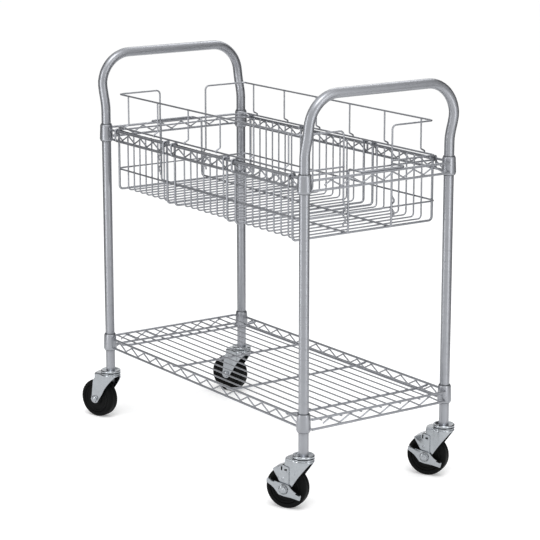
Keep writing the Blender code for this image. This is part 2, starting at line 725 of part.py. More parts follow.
def axle_nut(nut_face):
    radius = HEX_ACROSS / 2 / math.cos(math.pi / 6)
    nut = cylinder(radius, (0, nut_face, 0), (0, nut_face + NUT_HEIGHT, 0), sides=6)
    past = NUT_HEIGHT / 2
    bore = cylinder(AXLE_BORE, (0, nut_face - past, 0), (0, nut_face + NUT_HEIGHT + past, 0))
    return cut(nut, [bore])


def wheel_ring(half_profile):
    """A half profile of (radius, distance from the middle), mirrored and spun about the axle."""
    profile = half_profile + [(radius, -side) for radius, side in reversed(half_profile)]
    solid = turned(profile, sides=TYRE_FACETS)
    flat_down = Matrix.Rotation(math.pi / TYRE_FACETS, 4, "Z")
    solid.data.transform(Matrix.Rotation(-math.pi / 2, 4, "X") @ flat_down)
    return solid


def wheel_core():
    rim = WHEEL_RADIUS - TYRE_DEPTH - CLEARANCE
    bore = (AXLE_DIAMETER / 2 + CLEARANCE) / math.cos(math.pi / TYRE_FACETS)
    hub = HUB_DIAMETER / 2
    web = WEB_THICKNESS / 2
    return wheel_ring([(bore, HUB_LENGTH / 2), (hub, HUB_LENGTH / 2), (hub, web), (rim, web)])


def tyre():
    side = TYRE_WIDTH / 2
    shoulder = TYRE_ROUND * (1 - math.sqrt(0.5))
    return wheel_ring(
        [
            (WHEEL_RADIUS - TYRE_DEPTH, side),
            (WHEEL_RADIUS - TYRE_ROUND, side),
            (WHEEL_RADIUS - shoulder, side - shoulder),
            (WHEEL_RADIUS, side - TYRE_ROUND),
        ]
    )


def brake_shoe():
    """Plate beside the fork leg, with a strip that reaches over the tread."""
    inside = WHEEL_RADIUS + SHOE_GAP
    outside = inside + SHOE_PLATE
    top = arc((0, 0), outside, SHOE_START_ANGLE, SHOE_END_ANGLE, SHOE_STEPS)
    outline = [SHOE_FOOT, *top[:SHOE_STEPS], *SHOE_FRONT_EDGE]
    face = plate(outline, SHOE_INNER_Y, SHOE_INNER_Y + SHOE_PLATE)
    under = arc((0, 0), inside, SHOE_END_ANGLE, SHOE_START_ANGLE, SHOE_STEPS)
    strip = plate([*top, *under], -SHOE_REACH, SHOE_INNER_Y + SHOE_PLATE / 2)
    x, z = SHOE_HINGE
    bore = (SHOE_HINGE_DIAMETER / 2 + CLEARANCE) / ROUND_SHARE
    past = SHOE_PLATE
    hole = cylinder(bore, (x, SHOE_INNER_Y - past, z), (x, SHOE_INNER_Y + SHOE_PLATE + past, z))
    return cut(weld([face, strip]), [hole])


def brake_lever():
    """Lever on the axle: a boss with an arm and a foot tab either way."""
    low, high = LEVER_INNER_Y, LEVER_INNER_Y + LEVER_PLATE
    mirrored = [(-x, -z) for x, z in LEVER_ARM]
    arms = plate(LEVER_ARM + mirrored, low, high)
    boss = cylinder(LEVER_BOSS_RADIUS, (0, low + CLEARANCE, 0), (0, high - CLEARANCE, 0))
    tabs = []
    for start, end in ((LEVER_ARM[4], LEVER_ARM[3]), (mirrored[2], mirrored[1])):
        start, end = Vector(start), Vector(end)
        down = Vector((end.y - start.y, start.x - end.x)).normalized()
        top, under = down * CLEARANCE, down * (CLEARANCE + LEVER_PLATE)
        edge = [start + top, end + top, end + under, start + under]
        tabs.append(plate(edge, high - CLEARANCE, low + LEVER_TAB_DEPTH))
    hole = cylinder(AXLE_BORE, (0, low - LEVER_PLATE, 0), (0, high + LEVER_PLATE, 0))
    return cut(weld([arms, boss, *tabs]), [hole])


def make_caster(corner, sign_x, sign_y, finishes):
    braked = sign_x > 0
    swivel = bpy.data.objects.new(f"swivel_{corner}", None)
    bpy.data.collections[PARTS].objects.link(swivel)
    swivel.location = (sign_x * HALF_X, sign_y * HALF_Y, 0)
    swivel.rotation_euler.z = math.radians(TRAIL_ANGLE_RIGHT if braked else TRAIL_ANGLE_LEFT)
    place(f"caster_stem_{corner}", caster_stem(), finishes["zinc"], swivel)
    place(f"stem_socket_{corner}", stem_socket(), finishes["sleeve_plastic"], swivel)
    place(f"caster_fork_{corner}", fork(braked), finishes["zinc"], swivel)
    nut_face = LEVER_INNER_Y + LEVER_PLATE + CLEARANCE if braked else FORK_OUTER_Y + CLEARANCE
    pieces = [
        ("axle_bolt", axle_bolt(nut_face), "zinc", (0, 0)),
        ("axle_nut", axle_nut(nut_face), "zinc", (0, 0)),
        ("wheel_core", wheel_core(), "hub_plastic", (0, 0)),
        ("tyre", tyre(), "rubber", (0, 0)),
    ]
    if braked:
        pieces.append(("brake_lever", brake_lever(), "zinc", (0, 0)))
        pieces.append(("brake_shoe", brake_shoe(), "zinc", SHOE_HINGE))
    axle = Vector((SWIVEL_LEAD, 0, AXLE_HEIGHT))
    for name, solid, material, (pivot_x, pivot_z) in pieces:
        pivot = axle + Vector((pivot_x, 0, pivot_z))
        place(f"{name}_{corner}", shift(solid, axle), finishes[material], swivel, pivot)


def main():
    clear_scene()
    finishes = make_finishes()
    make_handles(finishes)
    make_sleeves(finishes)
    make_lower_shelf(finishes)
    make_upper_frame(finishes)
    make_basket_bays(finishes)
    make_basket_ties(finishes)
    make_file_rails(finishes)
    for corner, sign_x, sign_y in corners():
        make_caster(corner, sign_x, sign_y, finishes)


main()
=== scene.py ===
"""Dressed model of a wheeled wire cart for hanging files, with its studio.

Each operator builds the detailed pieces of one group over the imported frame, gives them procedural
materials and ties them to the bodies that they move with.

Metres, +Z up, X along the cart, Y across it (minus Y is the near side). The origin is on the
floor, midway between the four posts.
"""

import json
import math

import bmesh
import bpy
from bpy.props import FloatProperty, FloatVectorProperty, PointerProperty
from mathutils import Matrix, Vector


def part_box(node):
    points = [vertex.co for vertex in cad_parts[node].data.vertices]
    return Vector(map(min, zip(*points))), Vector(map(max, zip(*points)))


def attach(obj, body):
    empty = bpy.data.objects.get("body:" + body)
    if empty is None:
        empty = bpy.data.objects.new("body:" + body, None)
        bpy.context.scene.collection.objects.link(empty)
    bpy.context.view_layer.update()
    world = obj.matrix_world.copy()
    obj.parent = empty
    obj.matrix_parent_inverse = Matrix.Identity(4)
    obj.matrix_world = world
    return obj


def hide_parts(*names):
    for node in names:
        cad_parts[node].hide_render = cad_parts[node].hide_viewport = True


bl_info = {
    "name": "Wire File Cart",
    "version": (1, 0, 0),
    "blender": (4, 5, 0),
    "location": "3D View > Sidebar > File Cart",
    "description": "Builds the pieces, materials and studio of a wheeled wire cart for hanging files",
    "category": "Object",
}

MM = 0.001
X, Y, Z = range(3)

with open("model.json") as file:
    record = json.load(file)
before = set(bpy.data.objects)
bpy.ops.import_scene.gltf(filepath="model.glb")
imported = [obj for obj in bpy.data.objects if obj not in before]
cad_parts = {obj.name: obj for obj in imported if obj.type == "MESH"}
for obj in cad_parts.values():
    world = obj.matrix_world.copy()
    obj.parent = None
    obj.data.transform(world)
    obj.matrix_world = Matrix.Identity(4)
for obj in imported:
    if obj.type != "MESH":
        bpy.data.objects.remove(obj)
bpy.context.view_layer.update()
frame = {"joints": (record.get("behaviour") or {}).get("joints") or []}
JOINTS = {joint["name"]: joint for joint in frame["joints"]}
CORNERS = ("near_left", "near_right", "far_left", "far_right")
BRAKED = ("near_right", "far_right")
ENDS = (("left", -1), ("right", 1))
SIDES = (("near", -1), ("far", 1))
POSTS = {corner: Vector(JOINTS[f"swivel_{corner}"]["pos_m"]) for corner in CORNERS}
HALF_X, HALF_Y, FORK_TOP = POSTS["far_right"]
AXLE_HEIGHT = JOINTS["wheel_spin_far_right"]["pos_m"][Z]
SWIVEL_LEAD = (Vector(JOINTS["wheel_spin_far_right"]["pos_m"]) - POSTS["far_right"]).xy.length

# Wire and tube diameters of the frame
POST_DIAMETER = 24.0 * MM
RIM_WIRE = 6.0 * MM
ZIGZAG_WIRE = 3.8 * MM
DECK_WIRE = 3.6 * MM
CROSS_WIRE = 6.0 * MM
BAY_END_WIRE = 6.0 * MM
BAY_WIRE = 4.0 * MM
HANGER_WIRE = 5.0 * MM
CRADLE_WIRE = 5.0 * MM
RING_WIRE = 4.5 * MM
RAIL_WIRE = 4.5 * MM
RAIL_POST_WIRE = 4.0 * MM

# The frame draws a wire as a square bar of the same section, with a small gap to what it rests on.
SQUARE_SHARE = math.sqrt(math.pi) / 2
CLEARANCE = 0.3 * MM
WELD_BITE = 0.9 * MM


def outer_line(node, axis, end, diameter):
    """Centre line of a node's outermost wire on one side, along one axis."""
    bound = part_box(node)[1 if end > 0 else 0][axis]
    return bound - end * diameter / 2 * SQUARE_SHARE


def middle(node, axis):
    """Middle of a node's box along one axis."""
    low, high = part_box(node)
    return (low[axis] + high[axis]) / 2


def extent(node, axis):
    """Size of a node's box along one axis."""
    low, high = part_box(node)
    return high[axis] - low[axis]


def seat(first, second):
    """Distance between the centre lines of two wires that rest on each other."""
    return (first + second) / 2 * SQUARE_SHARE + CLEARANCE


def welded(first, second):
    """Distance between the centre lines of two wires that are welded together."""
    return (first + second) / 2 * SQUARE_SHARE - WELD_BITE


def in_mm(points, out=0.0, up=0.0):
    """Points of a side view, given in millimetres from a place, as metres."""
    return [(out + first * MM, up + second * MM) for first, second in points]


# Heights and lines, read from the frame
POST_FOOT_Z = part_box("right_handle_tube")[0].z
HANDLE_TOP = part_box("right_handle_tube")[1].z - POST_DIAMETER / 2
HANDLE_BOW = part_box("right_handle_tube")[1].x - POST_DIAMETER / 2 - HALF_X
LOWER_LEVEL = middle("lower_wire_shelf", Z)
UPPER_LEVEL = middle("upper_right_end_truss", Z)
UPPER_RIM_Z = outer_line("upper_near_side_truss", Z, 1, RIM_WIRE)
RIM_RISE = UPPER_RIM_Z - UPPER_LEVEL
TRUSS_DEPTH = UPPER_RIM_Z - outer_line("upper_near_side_truss", Z, -1, RIM_WIRE)
END_RIM_X = outer_line("upper_right_end_truss", X, 1, RIM_WIRE)
SIDE_RIM_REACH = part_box("upper_near_side_truss")[1].x
COLLAR_HEIGHT = extent("upper_right_end_truss", Z)
COLLAR_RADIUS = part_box("upper_right_end_truss")[1].y - HALF_Y
SLEEVE_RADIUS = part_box("upper_sleeve_far_right")[1].y - HALF_Y
SLEEVE_HEIGHT = extent("upper_sleeve_far_right", Z)
BASKET_FLOOR = outer_line("basket_bay_2", Z, -1, BAY_END_WIRE)
HANGER_TOP_Z = outer_line("basket_bay_2", Z, 1, HANGER_WIRE)
HANGER_OUTER_Y = outer_line("basket_bay_2", Y, 1, HANGER_WIRE)
RING_X = outer_line("basket_ring", X, 1, RING_WIRE)
RING_Y = outer_line("basket_ring", Y, 1, RING_WIRE)
RING_Z = middle("basket_ring", Z)
BAY_END_Y = HALF_Y - seat(RIM_WIRE, BAY_END_WIRE)
BAY_WALL_Y = RING_Y - seat(RING_WIRE, BAY_WIRE)
HANGER_INNER_Y = BAY_WALL_Y + welded(BAY_WIRE, HANGER_WIRE)
CRADLE_X = RING_X + seat(RING_WIRE, CRADLE_WIRE)
CRADLE_END_X = outer_line("basket_cradle", X, 1, CRADLE_WIRE)
CRADLE_Y = outer_line("basket_cradle", Y, 1, CRADLE_WIRE)
CRADLE_TOP_Z = outer_line("basket_cradle", Z, 1, CRADLE_WIRE)
CRADLE_FLOOR_Z = outer_line("basket_cradle", Z, -1, CRADLE_WIRE)
RAIL_X = RING_X - seat(RING_WIRE, RAIL_WIRE)
RAIL_TOP_Z = outer_line("file_rail_far", Z, 1, RAIL_WIRE)
RAIL_TAIL_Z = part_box("file_rail_far")[0].z
RAIL_BASE_Y = HANGER_INNER_Y + HANGER_WIRE / 2
RAIL_BASE_Z = HANGER_TOP_Z + seat(HANGER_WIRE, RAIL_WIRE)
RACE_RADIUS = extent("caster_stem_far_right", X) / 2
STEM_TOP_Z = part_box("caster_stem_far_right")[1].z

# Handles; the posts bow outwards between two heights
BOW_START = 0.825
BOW_END = 0.900
BOW_STEPS = 8
HANDLE_CORNER = 80 * MM
HANDLE_STEPS = 14
POST_SINK = 4 * MM
TUBE_CHAMFER = 0.6 * MM
GROOVE_TOP_GAP = 30 * MM
GROOVE_FOOT_GAP = 35 * MM
# A height groove, from below: millimetres from its middle, and the share of its depth
GROOVE_PROFILE = ((-0.7, 0), (-0.5, 1), (0.5, 1), (0.7, 0))

# Sleeves and collars; a chamfer is its inset and its height
SLEEVE_FIT = 0.1 * MM
SLEEVE_SLIT = math.radians(9)
SLEEVE_TURN = math.radians(45)
SLEEVE_EDGE = 0.35 * MM
COLLAR_FIT = 0.15 * MM
COLLAR_EDGE = 0.5 * MM
COLLAR_LIP = 0.5 * MM
COLLAR_FOOT_CHAMFER = (2.0 * MM, 5 * MM)
COLLAR_TOP_CHAMFER = (1.4 * MM, 3 * MM)

# Trusses, deck and basket
ZIGZAG_PITCH_LONG = 59.5 * MM
ZIGZAG_PITCH_END = 59.3 * MM
ZIGZAG_BEND = 4 * MM
# Share of the touching distance at which a zigzag nests on a rim, and where its first leg is cut
ZIGZAG_NEST = 0.86
ZIGZAG_START = 0.38
RIM_END_SHORT = 11 * MM
SIDE_RIM_GAP = 0.8 * MM
DECK_COUNT = 13
DECK_SPREAD = 348 * MM
DECK_OVERHANG = 6 * MM
CROSS_COUNT = 4
CROSS_SPREAD = 744 * MM
CROSS_BEND = 12 * MM
BAY_COUNT = 3
BAY_THIN_WIRES = 7
BAY_CORNER = 9 * MM
HANGER_BEND = 2.4 * MM
HANGER_FOOT_BEND = 1.6 * HANGER_BEND
LOOP_CORNER = 6 * MM
CRADLE_BEND = 8 * MM
RING_CORNER = 13 * MM

# Weld beads: half sizes along X, Y and Z, as shares of the wires that a bead joins
END_SEAM_BEAD = (0.5, 5 / 6, 0.45)
SIDE_SEAM_BEAD = (11 / 30, 0.62, 0.62)
ZIGZAG_BEAD = (1, 1, 0.5)
DECK_BEAD = (0.6, 0.8, 0.35)
CROSS_BEAD = (0.75, 0.6, 0.45)
BAY_BEAD = (0.75, 0.5, 0.42)
TIE_BEAD = (1, 0.55, 0.55)
RAIL_POST_BEAD = (0.72, 0.45, 0.55)
RAIL_END_BEAD = (0.7, 0.7, 0.6)
# Where a bead sits past a wire's centre line, and how a zigzag's beads stretch and rise
BEAD_SEAT = 0.45
BEAD_STRETCH = 0.9
BEAD_RISE = 0.2
END_SEAM_INSET = 2 * MM
SIDE_SEAM_GAP = 0.6 * MM

# File rails
RAIL_INSET = 7.5 * MM
RAIL_RETURN_Y = 70.5 * MM
RAIL_LAP = 0.3 * RAIL_WIRE
RAIL_CORNER = 11 * MM
RAIL_POST_COUNT = 6
RAIL_POST_PITCH = 141 * MM
RAIL_POST_BEND = 3 * MM
RAIL_KINK = 10 * MM
RAIL_NOTCH = 11 * MM
RAIL_BULGE = 13 * MM
RAIL_BULGE_HEIGHT = 19 * MM
RAIL_BULGE_BEND = 5 * MM

# Caster stems and sockets; a profile gives radius and height in millimetres
RACE_GAP = 3.8 * MM
SHAFT_TIP = [(0, 0), (4.6, 0), (5.5, -1)]
RACE_CAP = [
    (5.5, 2.4), (12.6, 2.2), (14.2, 2.6), (20.4, 5.5), (22.4, 6.4), (24.4, 6.5), (25.8, 5.6),
    (26.4, 4.2), (26.5, 2.4), (26.2, 1.4), (25.2, 0.8), (20.6, 0.8), (20.0, 0.0), (6, 0), (6, -6.8),
    (8.6, -6.9), (8.2, -8.4), (6, -9.6), (0, -9.8),
]
RACE_CUP = [
    (6.4, -2.4), (6.4, 3.4), (20.0, 3.4), (20.6, 2.7), (25.4, 2.7), (26.2, 2.2), (26.5, 1.4), (26.5, 0.4),
    (26.1, -0.4), (24, -0.8), (20, -2.4),
]
TUBE_WALL = 1.8 * MM
SOCKET_BORE = 5.8 * MM
SOCKET_GROOVE = 0.8 * MM
SOCKET_RIBS = 5
# One rib of a socket, from below: the inset, and the share of the rib's pitch
SOCKET_RIB = ((0, 0.25), (0, 0.6), (SOCKET_GROOVE, 0.75))

# Caster forks, in the side view from the axle: away from the post, then up
FORK_OUTER_Y = 21.5 * MM
FORK_PLATE = 2.5 * MM
FORK_EDGE = 0.35 * MM
FORK_BEND = 4.5 * MM
FORK_FOOT = 12 * MM
FORK_REAR_EDGE = in_mm([(-1, 59), (5, 52), (10.4, 6)])
FORK_FRONT_EDGE = in_mm(
    [(-61.5, 65), (-54, 55), (-44.5, 42.8), (-34.5, 29.4), (-24, 14.8), (-11.6, -3.1)]
)
FORK_SKIRT = 4.9 * MM
BEND_FOOT_Z = FORK_TOP - AXLE_HEIGHT - FORK_BEND
FORK_RACE_INSET = 0.1 * MM
CROWN_BULGE = 4 * MM
# How finely the fork's sheet is divided; the columns of a leg crowd towards the tip of its foot
LEG_STEPS = 10
LEG_CROWDING = 1.6
FLAT_STEPS = 6
SKIRT_STEPS = 16
ROW_STEPS = 9
BEND_STEPS = 5
CROWN_STEPS = 10

# Axles; a profile gives radius and height in millimetres
AXLE_RADIUS = 4 * MM
HEX_ACROSS = 15.5 * MM
HEX_CHAMFER = 0.8 * MM
HEX_FOOT_CHAMFER = 0.40 * MM
HEX_TOP_CHAMFER = 0.48 * MM
BOLT_HEAD = 5.3 * MM
BOLT_SINK = 1 * MM
WASHER_EDGE = 0.3 * MM
WASHER = [(4.1, -1.2), (9.2, -1.2), (9.2, 0), (4.1, 0)]
NUT_HEIGHT = 6.2 * MM
NUT_HEX_FOOT = 1.0 * MM
NUT_HEX_HEIGHT = NUT_HEIGHT - 1.6 * MM
NUT_FLANGE = [(4.1, 0), (9.4, 0), (9.4, 0.7), (7.4, 1.6), (4.1, 1.6)]
NUT_DOME = [(4.1, 4.2), (6.6, 4.6), (5.6, 6.0), (4.1, 6.2)]
THREAD_END = 1.5 * MM
THREAD_PITCH = 1.25 * MM
# One turn of the thread: the depth, and the share of the pitch
THREAD = ((0, 0.3), (0.5 * MM, 0.8))
BOLT_TIP = [(-0.4, -0.4), (-1, 0)]

# Wheels: radius and half width in millimetres, from the axle, the core's rim or the tread
TYRE_DEPTH = 12.5 * MM
HUB = [(4.3, 18.7), (11, 18.7), (15.5, 18.2), (17, 16.7), (18, 13.2), (20, 12.4)]
CORE_RIM = [(-7, 12.8), (-5, 14.6), (-1.5, 14.8), (0.15, 13.4)]
TYRE_SEAT = [(0, 13.6), (0.9, 15.4), (1.8, 16)]
TREAD = [(-5.8, 15.9), (-3.4, 15.2), (-1.4, 13.4), (-0.4, 11), (0, 7.5), (0, 0.8), (-0.25, 0.3)]

# Brakes, in the side view from the axle; turned profiles are in millimetres
SHOE_PLATE = 2.0 * MM
SHOE_GAP = 2.2 * MM
SHOE_ANGLES = (58.0, 79.0)
SHOE_STEPS = 8
SHOE_REACH = 12 * MM
SHOE_FACE = in_mm([(2, 58), (-12.5, 54), (-12.5, 9), (6, 9)])
# A slot in millimetres: its middle, width and height
SIGHT_SLOT = (5.4, 50, 3.6, 10.4)
HOOK_SLOT = (-4.9, 46.4, 7.0, 6.0)
SLOT_MARGIN = 2 * MM
LIP_HALF = 0.9 * MM
LIP_BEAD = (1, 8 / 9, 0.42)
DIMPLE = [(0, 0), (3.6, 0), (3.2, 0.7), (2, 1.3), (0, 1.5)]
DIMPLE_PLACE = (2.4 * MM, 25 * MM)
DIMPLE_SINK = 0.1 * MM
HOOK_STEP = 1.7 * MM
HOOK_DROP = 2.4 * MM
HOOK_GAP = 0.3 * MM
HOOK_SPARE = 0.8 * MM
LEVER_PLATE = 2.4 * MM
LEVER_BOSS = 13.5 * MM
LEVER_BOSS_EDGE = [(0, -0.5), (-0.8, 0)]
LEVER_OUTLINE = in_mm([
    (12.5, -13.5), (17.5, -7.5), (25, 1), (31.5, 6), (44, 13), (40.5, 24), (22, 18), (-12.5, 11),
    (-17.5, 6), (-25, -1), (-31.5, -5), (-44.5, -9), (-41.5, -22.5), (-22, -18.5), (0, -16.5),
])
# The stretches of the lever's outline that are bent out as tabs
LEVER_TABS = ((6, 5), (11, 10))
LEVER_TAB = 10 * MM
LEVER_TAB_SHORT = 1 * MM
LEVER_TAB_ROOT = 0.4 * LEVER_PLATE
SHOE_INNER_Y = FORK_OUTER_Y + CLEARANCE
STRIP_END_Y = SHOE_INNER_Y + 0.9 * SHOE_PLATE
LEVER_INNER_Y = SHOE_INNER_Y + SHOE_PLATE + CLEARANCE
# Eased corners and edges of the pressed plates
SHOE_EASE = (0.4 * MM, 0.3 * MM)
STRIP_EASE = (0.3 * MM, 0.3 * MM)
HOOK_EASE = (0.5 * MM, 0.3 * MM)
LEVER_EASE = (1.6 * MM, 0.4 * MM)
TAB_EASE = (0.7 * MM, 0.3 * MM)
SLOT_EASE = (0.6 * MM, 0.05 * MM)

# The camera of the photograph: its place, its angles in degrees and its lens in millimetres
CAMERA_PLACE = (4.1010, -2.8496, 1.6223)
CAMERA_YAW = 55.199
CAMERA_PITCH = 13.111
CAMERA_LENS = 136.54

# Studio; an angle goes round the cart in degrees, to the right as the camera sees it
FLOOR_SIZE = 80
CART_MIDDLE = (0, 0, 0.5)
KEY_PLACE = (0.6, -0.8, 2.8)
KEY_SIZE = (2.4, 1.6)
SUN_PLACE = (1.5, -1.0, 4.0)
SUN_SOFTNESS = math.radians(25)
# The softbox behind: its angle, distance and height
BACK_PLACE = (160, 2.2, 3.2)
BACK_SIZE = (2.0, 0.8)
# A side softbox: its name, angle and share of the fill's power
FILLS = (("Left_Softbox", -62, 1.0), ("Right_Softbox", 42, 0.65))
FILL_DISTANCE = 1.8
FILL_SIZE = (0.4, 1.9)
# A card: its name, angle, width and colour
CARDS = (
    ("Left_Grey_Card", -118, 1.5, "8C8C8C"),
    ("Right_Grey_Card", 80, 0.7, "C8C8C8"),
    ("Right_Dark_Card", 121, 1.3, "2C2C2C"),
)
CARD_DISTANCE = 1.4
CARD_HEIGHT = 2.0
SIDE_LEVEL = 1.0

SHARP_ANGLE = math.radians(35)
RIM_ANGLE = math.radians(60)
ARC_STEP = math.radians(11)
# How much of a stretch of a path its bends may take up, and of a wire's radius its end's chamfer
CORNER_SHARE = 0.49
WIRE_CHAMFER = 0.35
BEAD_ROWS = 6
BEAD_SIDES = 10
WIRE_SIDES = 14
TUBE_SIDES = 36
TURNED_SIDES = 56
SMALL_SIDES = 24
SOCKET_SIDES = 32
WASHER_SIDES = 36
BOSS_SIDES = 40
WHEEL_SIDES = 96
ON_AXIS = 1e-6
MERGE = 1e-7


def linear(code):
    """Scene-linear colour from an sRGB hex code."""
    channels = [int(code[start : start + 2], 16) / 255 for start in (0, 2, 4)]
    return tuple(c / 12.92 if c <= 0.04045 else ((c + 0.055) / 1.055) ** 2.4 for c in channels)


WHITE = (*linear("FFFFFF"), 1)


def amount(name, default, description, unit="NONE", precision=2):
    """A number that isn't negative, with its unit where it has one."""
    return FloatProperty(
        name=name, description=description, default=default, min=0, unit=unit, precision=precision
    )


def length(name, default, description):
    """A length in metres, shown to a tenth of a millimetre."""
    return amount(name, default, description, "LENGTH", 4)


def colour(name, code, description):
    """A colour, given as an sRGB hex code."""
    return FloatVectorProperty(
        name=name, description=description, default=linear(code), subtype="COLOR", min=0, max=1
    )


class FileCartSizes(bpy.types.PropertyGroup):
    """Diameters of the tubes and wires, and sizes of the grooves and weld beads."""

    post: length("Post", POST_DIAMETER, "Outside diameter of the handle tubes")
    groove_pitch: length("Groove pitch", 25.4 * MM, "Distance between the height grooves of the posts")
    groove_depth: length("Groove depth", 0.3 * MM, "Depth of the height grooves of the posts")
    rim: length("Rim wire", RIM_WIRE, "Diameter of the rim wires of the trusses")
    zigzag: length("Zigzag wire", ZIGZAG_WIRE, "Diameter of the zigzag wires of the trusses")
    deck: length("Deck wire", DECK_WIRE, "Diameter of the long wires of the shelf")
    cross: length("Cross wire", CROSS_WIRE, "Diameter of the wires under the shelf")
    bay_end: length("Bay end wire", BAY_END_WIRE, "Diameter of the outer wires of each basket bay")
    bay: length("Bay wire", BAY_WIRE, "Diameter of the inner wires of each basket bay")
    hanger: length("Hanger wire", HANGER_WIRE, "Diameter of the loops that hang the bays")
    cradle: length("Cradle wire", CRADLE_WIRE, "Diameter of the wire under the bays")
    ring: length("Ring wire", RING_WIRE, "Diameter of the wire round the bays")
    rail: length("Rail wire", RAIL_WIRE, "Diameter of the file rails")
    rail_post: length("Rail post wire", RAIL_POST_WIRE, "Diameter of the posts of the file rails")
    weld: length("Weld bead", 0.4 * MM, "How far the weld beads of a zigzag swell past its wire")


class FileCartFinishes(bpy.types.PropertyGroup):
    """Colours of the materials."""

    silver: colour("Silver coat", "97999E", "Powder coat of tubes and wires")
    zinc: colour("Zinc plate", "A2A6AA", "Plated steel of the casters")
    rubber: colour("Rubber", "0B0C0C", "Tyres")
    plastic: colour("Core plastic", "090A0A", "Wheel cores")
    sleeve: colour("Sleeve plastic", "4A4C50", "Split sleeves and stem sockets")


class FileCartStudio(bpy.types.PropertyGroup):
    """Floor and light."""

    floor: colour("Floor", "F6F6F6", "Floor under the cart")
    lift: amount("Lift", 0.27, "Light of the floor's own, for eye and mirror alone")
    sky: amount("Sky", 0.55, "Strength of the world's light")
    key: amount("Key", 10, "Power of the softbox overhead", "POWER")
    fill: amount("Fill", 9, "Power of the side softboxes", "POWER")
    back: amount("Back", 15, "Power of the softbox behind", "POWER")
    sun: amount("Sun", 0.9, "Strength of the soft sun")


def add_node(tree, kind, inputs=None, to=None, **settings):
    """Add a shader node with its settings and links.

    Each input, by name or index, is a value, a socket, or a node whose first output is meant. The
    new node's own first output is linked to a socket where one is given.
    """
    node = tree.nodes.new(kind)
    for name, value in settings.items():
        setattr(node, name, value)
    for key, value in (inputs or {}).items():
        source = value.outputs[0] if isinstance(value, bpy.types.Node) else value
        if isinstance(source, bpy.types.NodeSocket):
            tree.links.new(source, node.inputs[key])
        else:
            node.inputs[key].default_value = source
    if to is not None:
        tree.links.new(node.outputs[0], to)
    return node


def start_material(name):
    """A new material with its tree and its shader's sockets."""
    material = bpy.data.materials.new(name)
    material.use_nodes = True
    return material, material.node_tree, material.node_tree.nodes["Principled BSDF"].inputs


def set_tones(ramp, tone, dark, light):
    """Let a colour ramp run from a darker to a lighter version of a colour."""
    for element, factor in zip(ramp.color_ramp.elements, (dark, light)):
        element.color = (*[min(channel * factor, 1) for channel in tone], 1)


def silver_powder_coat(tree, sockets, place, finishes):
    """Metallic powder, sprayed and baked: a satin grey, faintly cloudy, with fine peel and flakes."""
    clouds = add_node(tree, "ShaderNodeTexNoise", {"Vector": place, "Scale": 1 / (45 * MM), "Detail": 3})
    ramp = add_node(tree, "ShaderNodeValToRGB", {"Fac": clouds}, to=sockets["Base Color"])
    set_tones(ramp, finishes.silver, 0.93, 1.05)
    # Real flakes are about 0.05 mm across, too fine to show, so they are drawn 0.9 mm across.
    flakes = add_node(tree, "ShaderNodeTexVoronoi", {"Vector": place, "Scale": 1 / (0.9 * MM)})
    glint = {"Value": flakes.outputs["Color"], "To Min": 0.30, "To Max": 0.36}
    add_node(tree, "ShaderNodeMapRange", glint, to=sockets["Roughness"])
    sockets["Metallic"].default_value = 0.85
    peel = add_node(tree, "ShaderNodeTexNoise", {"Vector": place, "Scale": 1 / (1.6 * MM), "Detail": 2})
    relief = {"Height": peel, "Distance": 0.02 * MM, "Strength": 0.2}
    add_node(tree, "ShaderNodeBump", relief, to=sockets["Normal"])


def bright_zinc_plate(tree, sockets, place, finishes):
    """Plated pressed steel: cool and bright, with faint crystals, rolling streaks and handling haze."""
    # The plate's crystals are well under 1 mm across, so they are drawn as patches of 5 mm.
    crystals = add_node(tree, "ShaderNodeTexVoronoi", {"Vector": place, "Scale": 1 / (5 * MM)})
    tones = {"Fac": crystals.outputs["Color"]}
    ramp = add_node(tree, "ShaderNodeValToRGB", tones, to=sockets["Base Color"])
    set_tones(ramp, finishes.zinc, 0.92, 1.03)
    stretched = add_node(tree, "ShaderNodeMapping", {"Vector": place, "Scale": (1, 1, 0.06)})
    # Rolling streaks are about 0.1 mm apart, and drawn 1.2 mm apart to show.
    lines = {"Vector": stretched, "Scale": 1 / (1.2 * MM), "Detail": 3}
    streaks = add_node(tree, "ShaderNodeTexNoise", lines)
    haze = add_node(tree, "ShaderNodeTexNoise", {"Vector": place, "Scale": 1 / (18 * MM), "Detail": 3})
    both = add_node(tree, "ShaderNodeMath", {0: streaks, 1: haze}, operation="MULTIPLY")
    dullness = {"Value": both, "To Min": 0.16, "To Max": 0.40}
    add_node(tree, "ShaderNodeMapRange", dullness, to=sockets["Roughness"])
    sockets["Metallic"].default_value = 1.0
    relief = {"Height": streaks, "Distance": 0.03 * MM, "Strength": 0.4}
    add_node(tree, "ShaderNodeBump", relief, to=sockets["Normal"])


def moulded(tree, sockets, place, tone, grain, smooth, rough):
    """A moulded surface: matt, finely pitted, with duller and dustier patches a thumb wide."""
    dust = add_node(tree, "ShaderNodeTexNoise", {"Vector": place, "Scale": 1 / (22 * MM), "Detail": 4})
    ramp = add_node(tree, "ShaderNodeValToRGB", {"Fac": dust}, to=sockets["Base Color"])
    set_tones(ramp, tone, 0.8, 1.4)
    dullness = {"Value": dust, "To Min": smooth, "To Max": rough}
    add_node(tree, "ShaderNodeMapRange", dullness, to=sockets["Roughness"])
    sockets["Specular IOR Level"].default_value = 0.08
    pits = add_node(tree, "ShaderNodeTexNoise", {"Vector": place, "Scale": 1 / grain, "Detail": 3})
    relief = {"Height": pits, "Distance": 0.08 * MM, "Strength": 0.5}
    add_node(tree, "ShaderNodeBump", relief, to=sockets["Normal"])


# The pits of a mould's surface are about 0.1 mm wide; the next three draw them coarser, to show.
def black_rubber(tree, sockets, place, finishes):
    """Moulded rubber: near black, and the dullest of the three."""
    moulded(tree, sockets, place, finishes.rubber, 0.7 * MM, 0.5, 0.72)


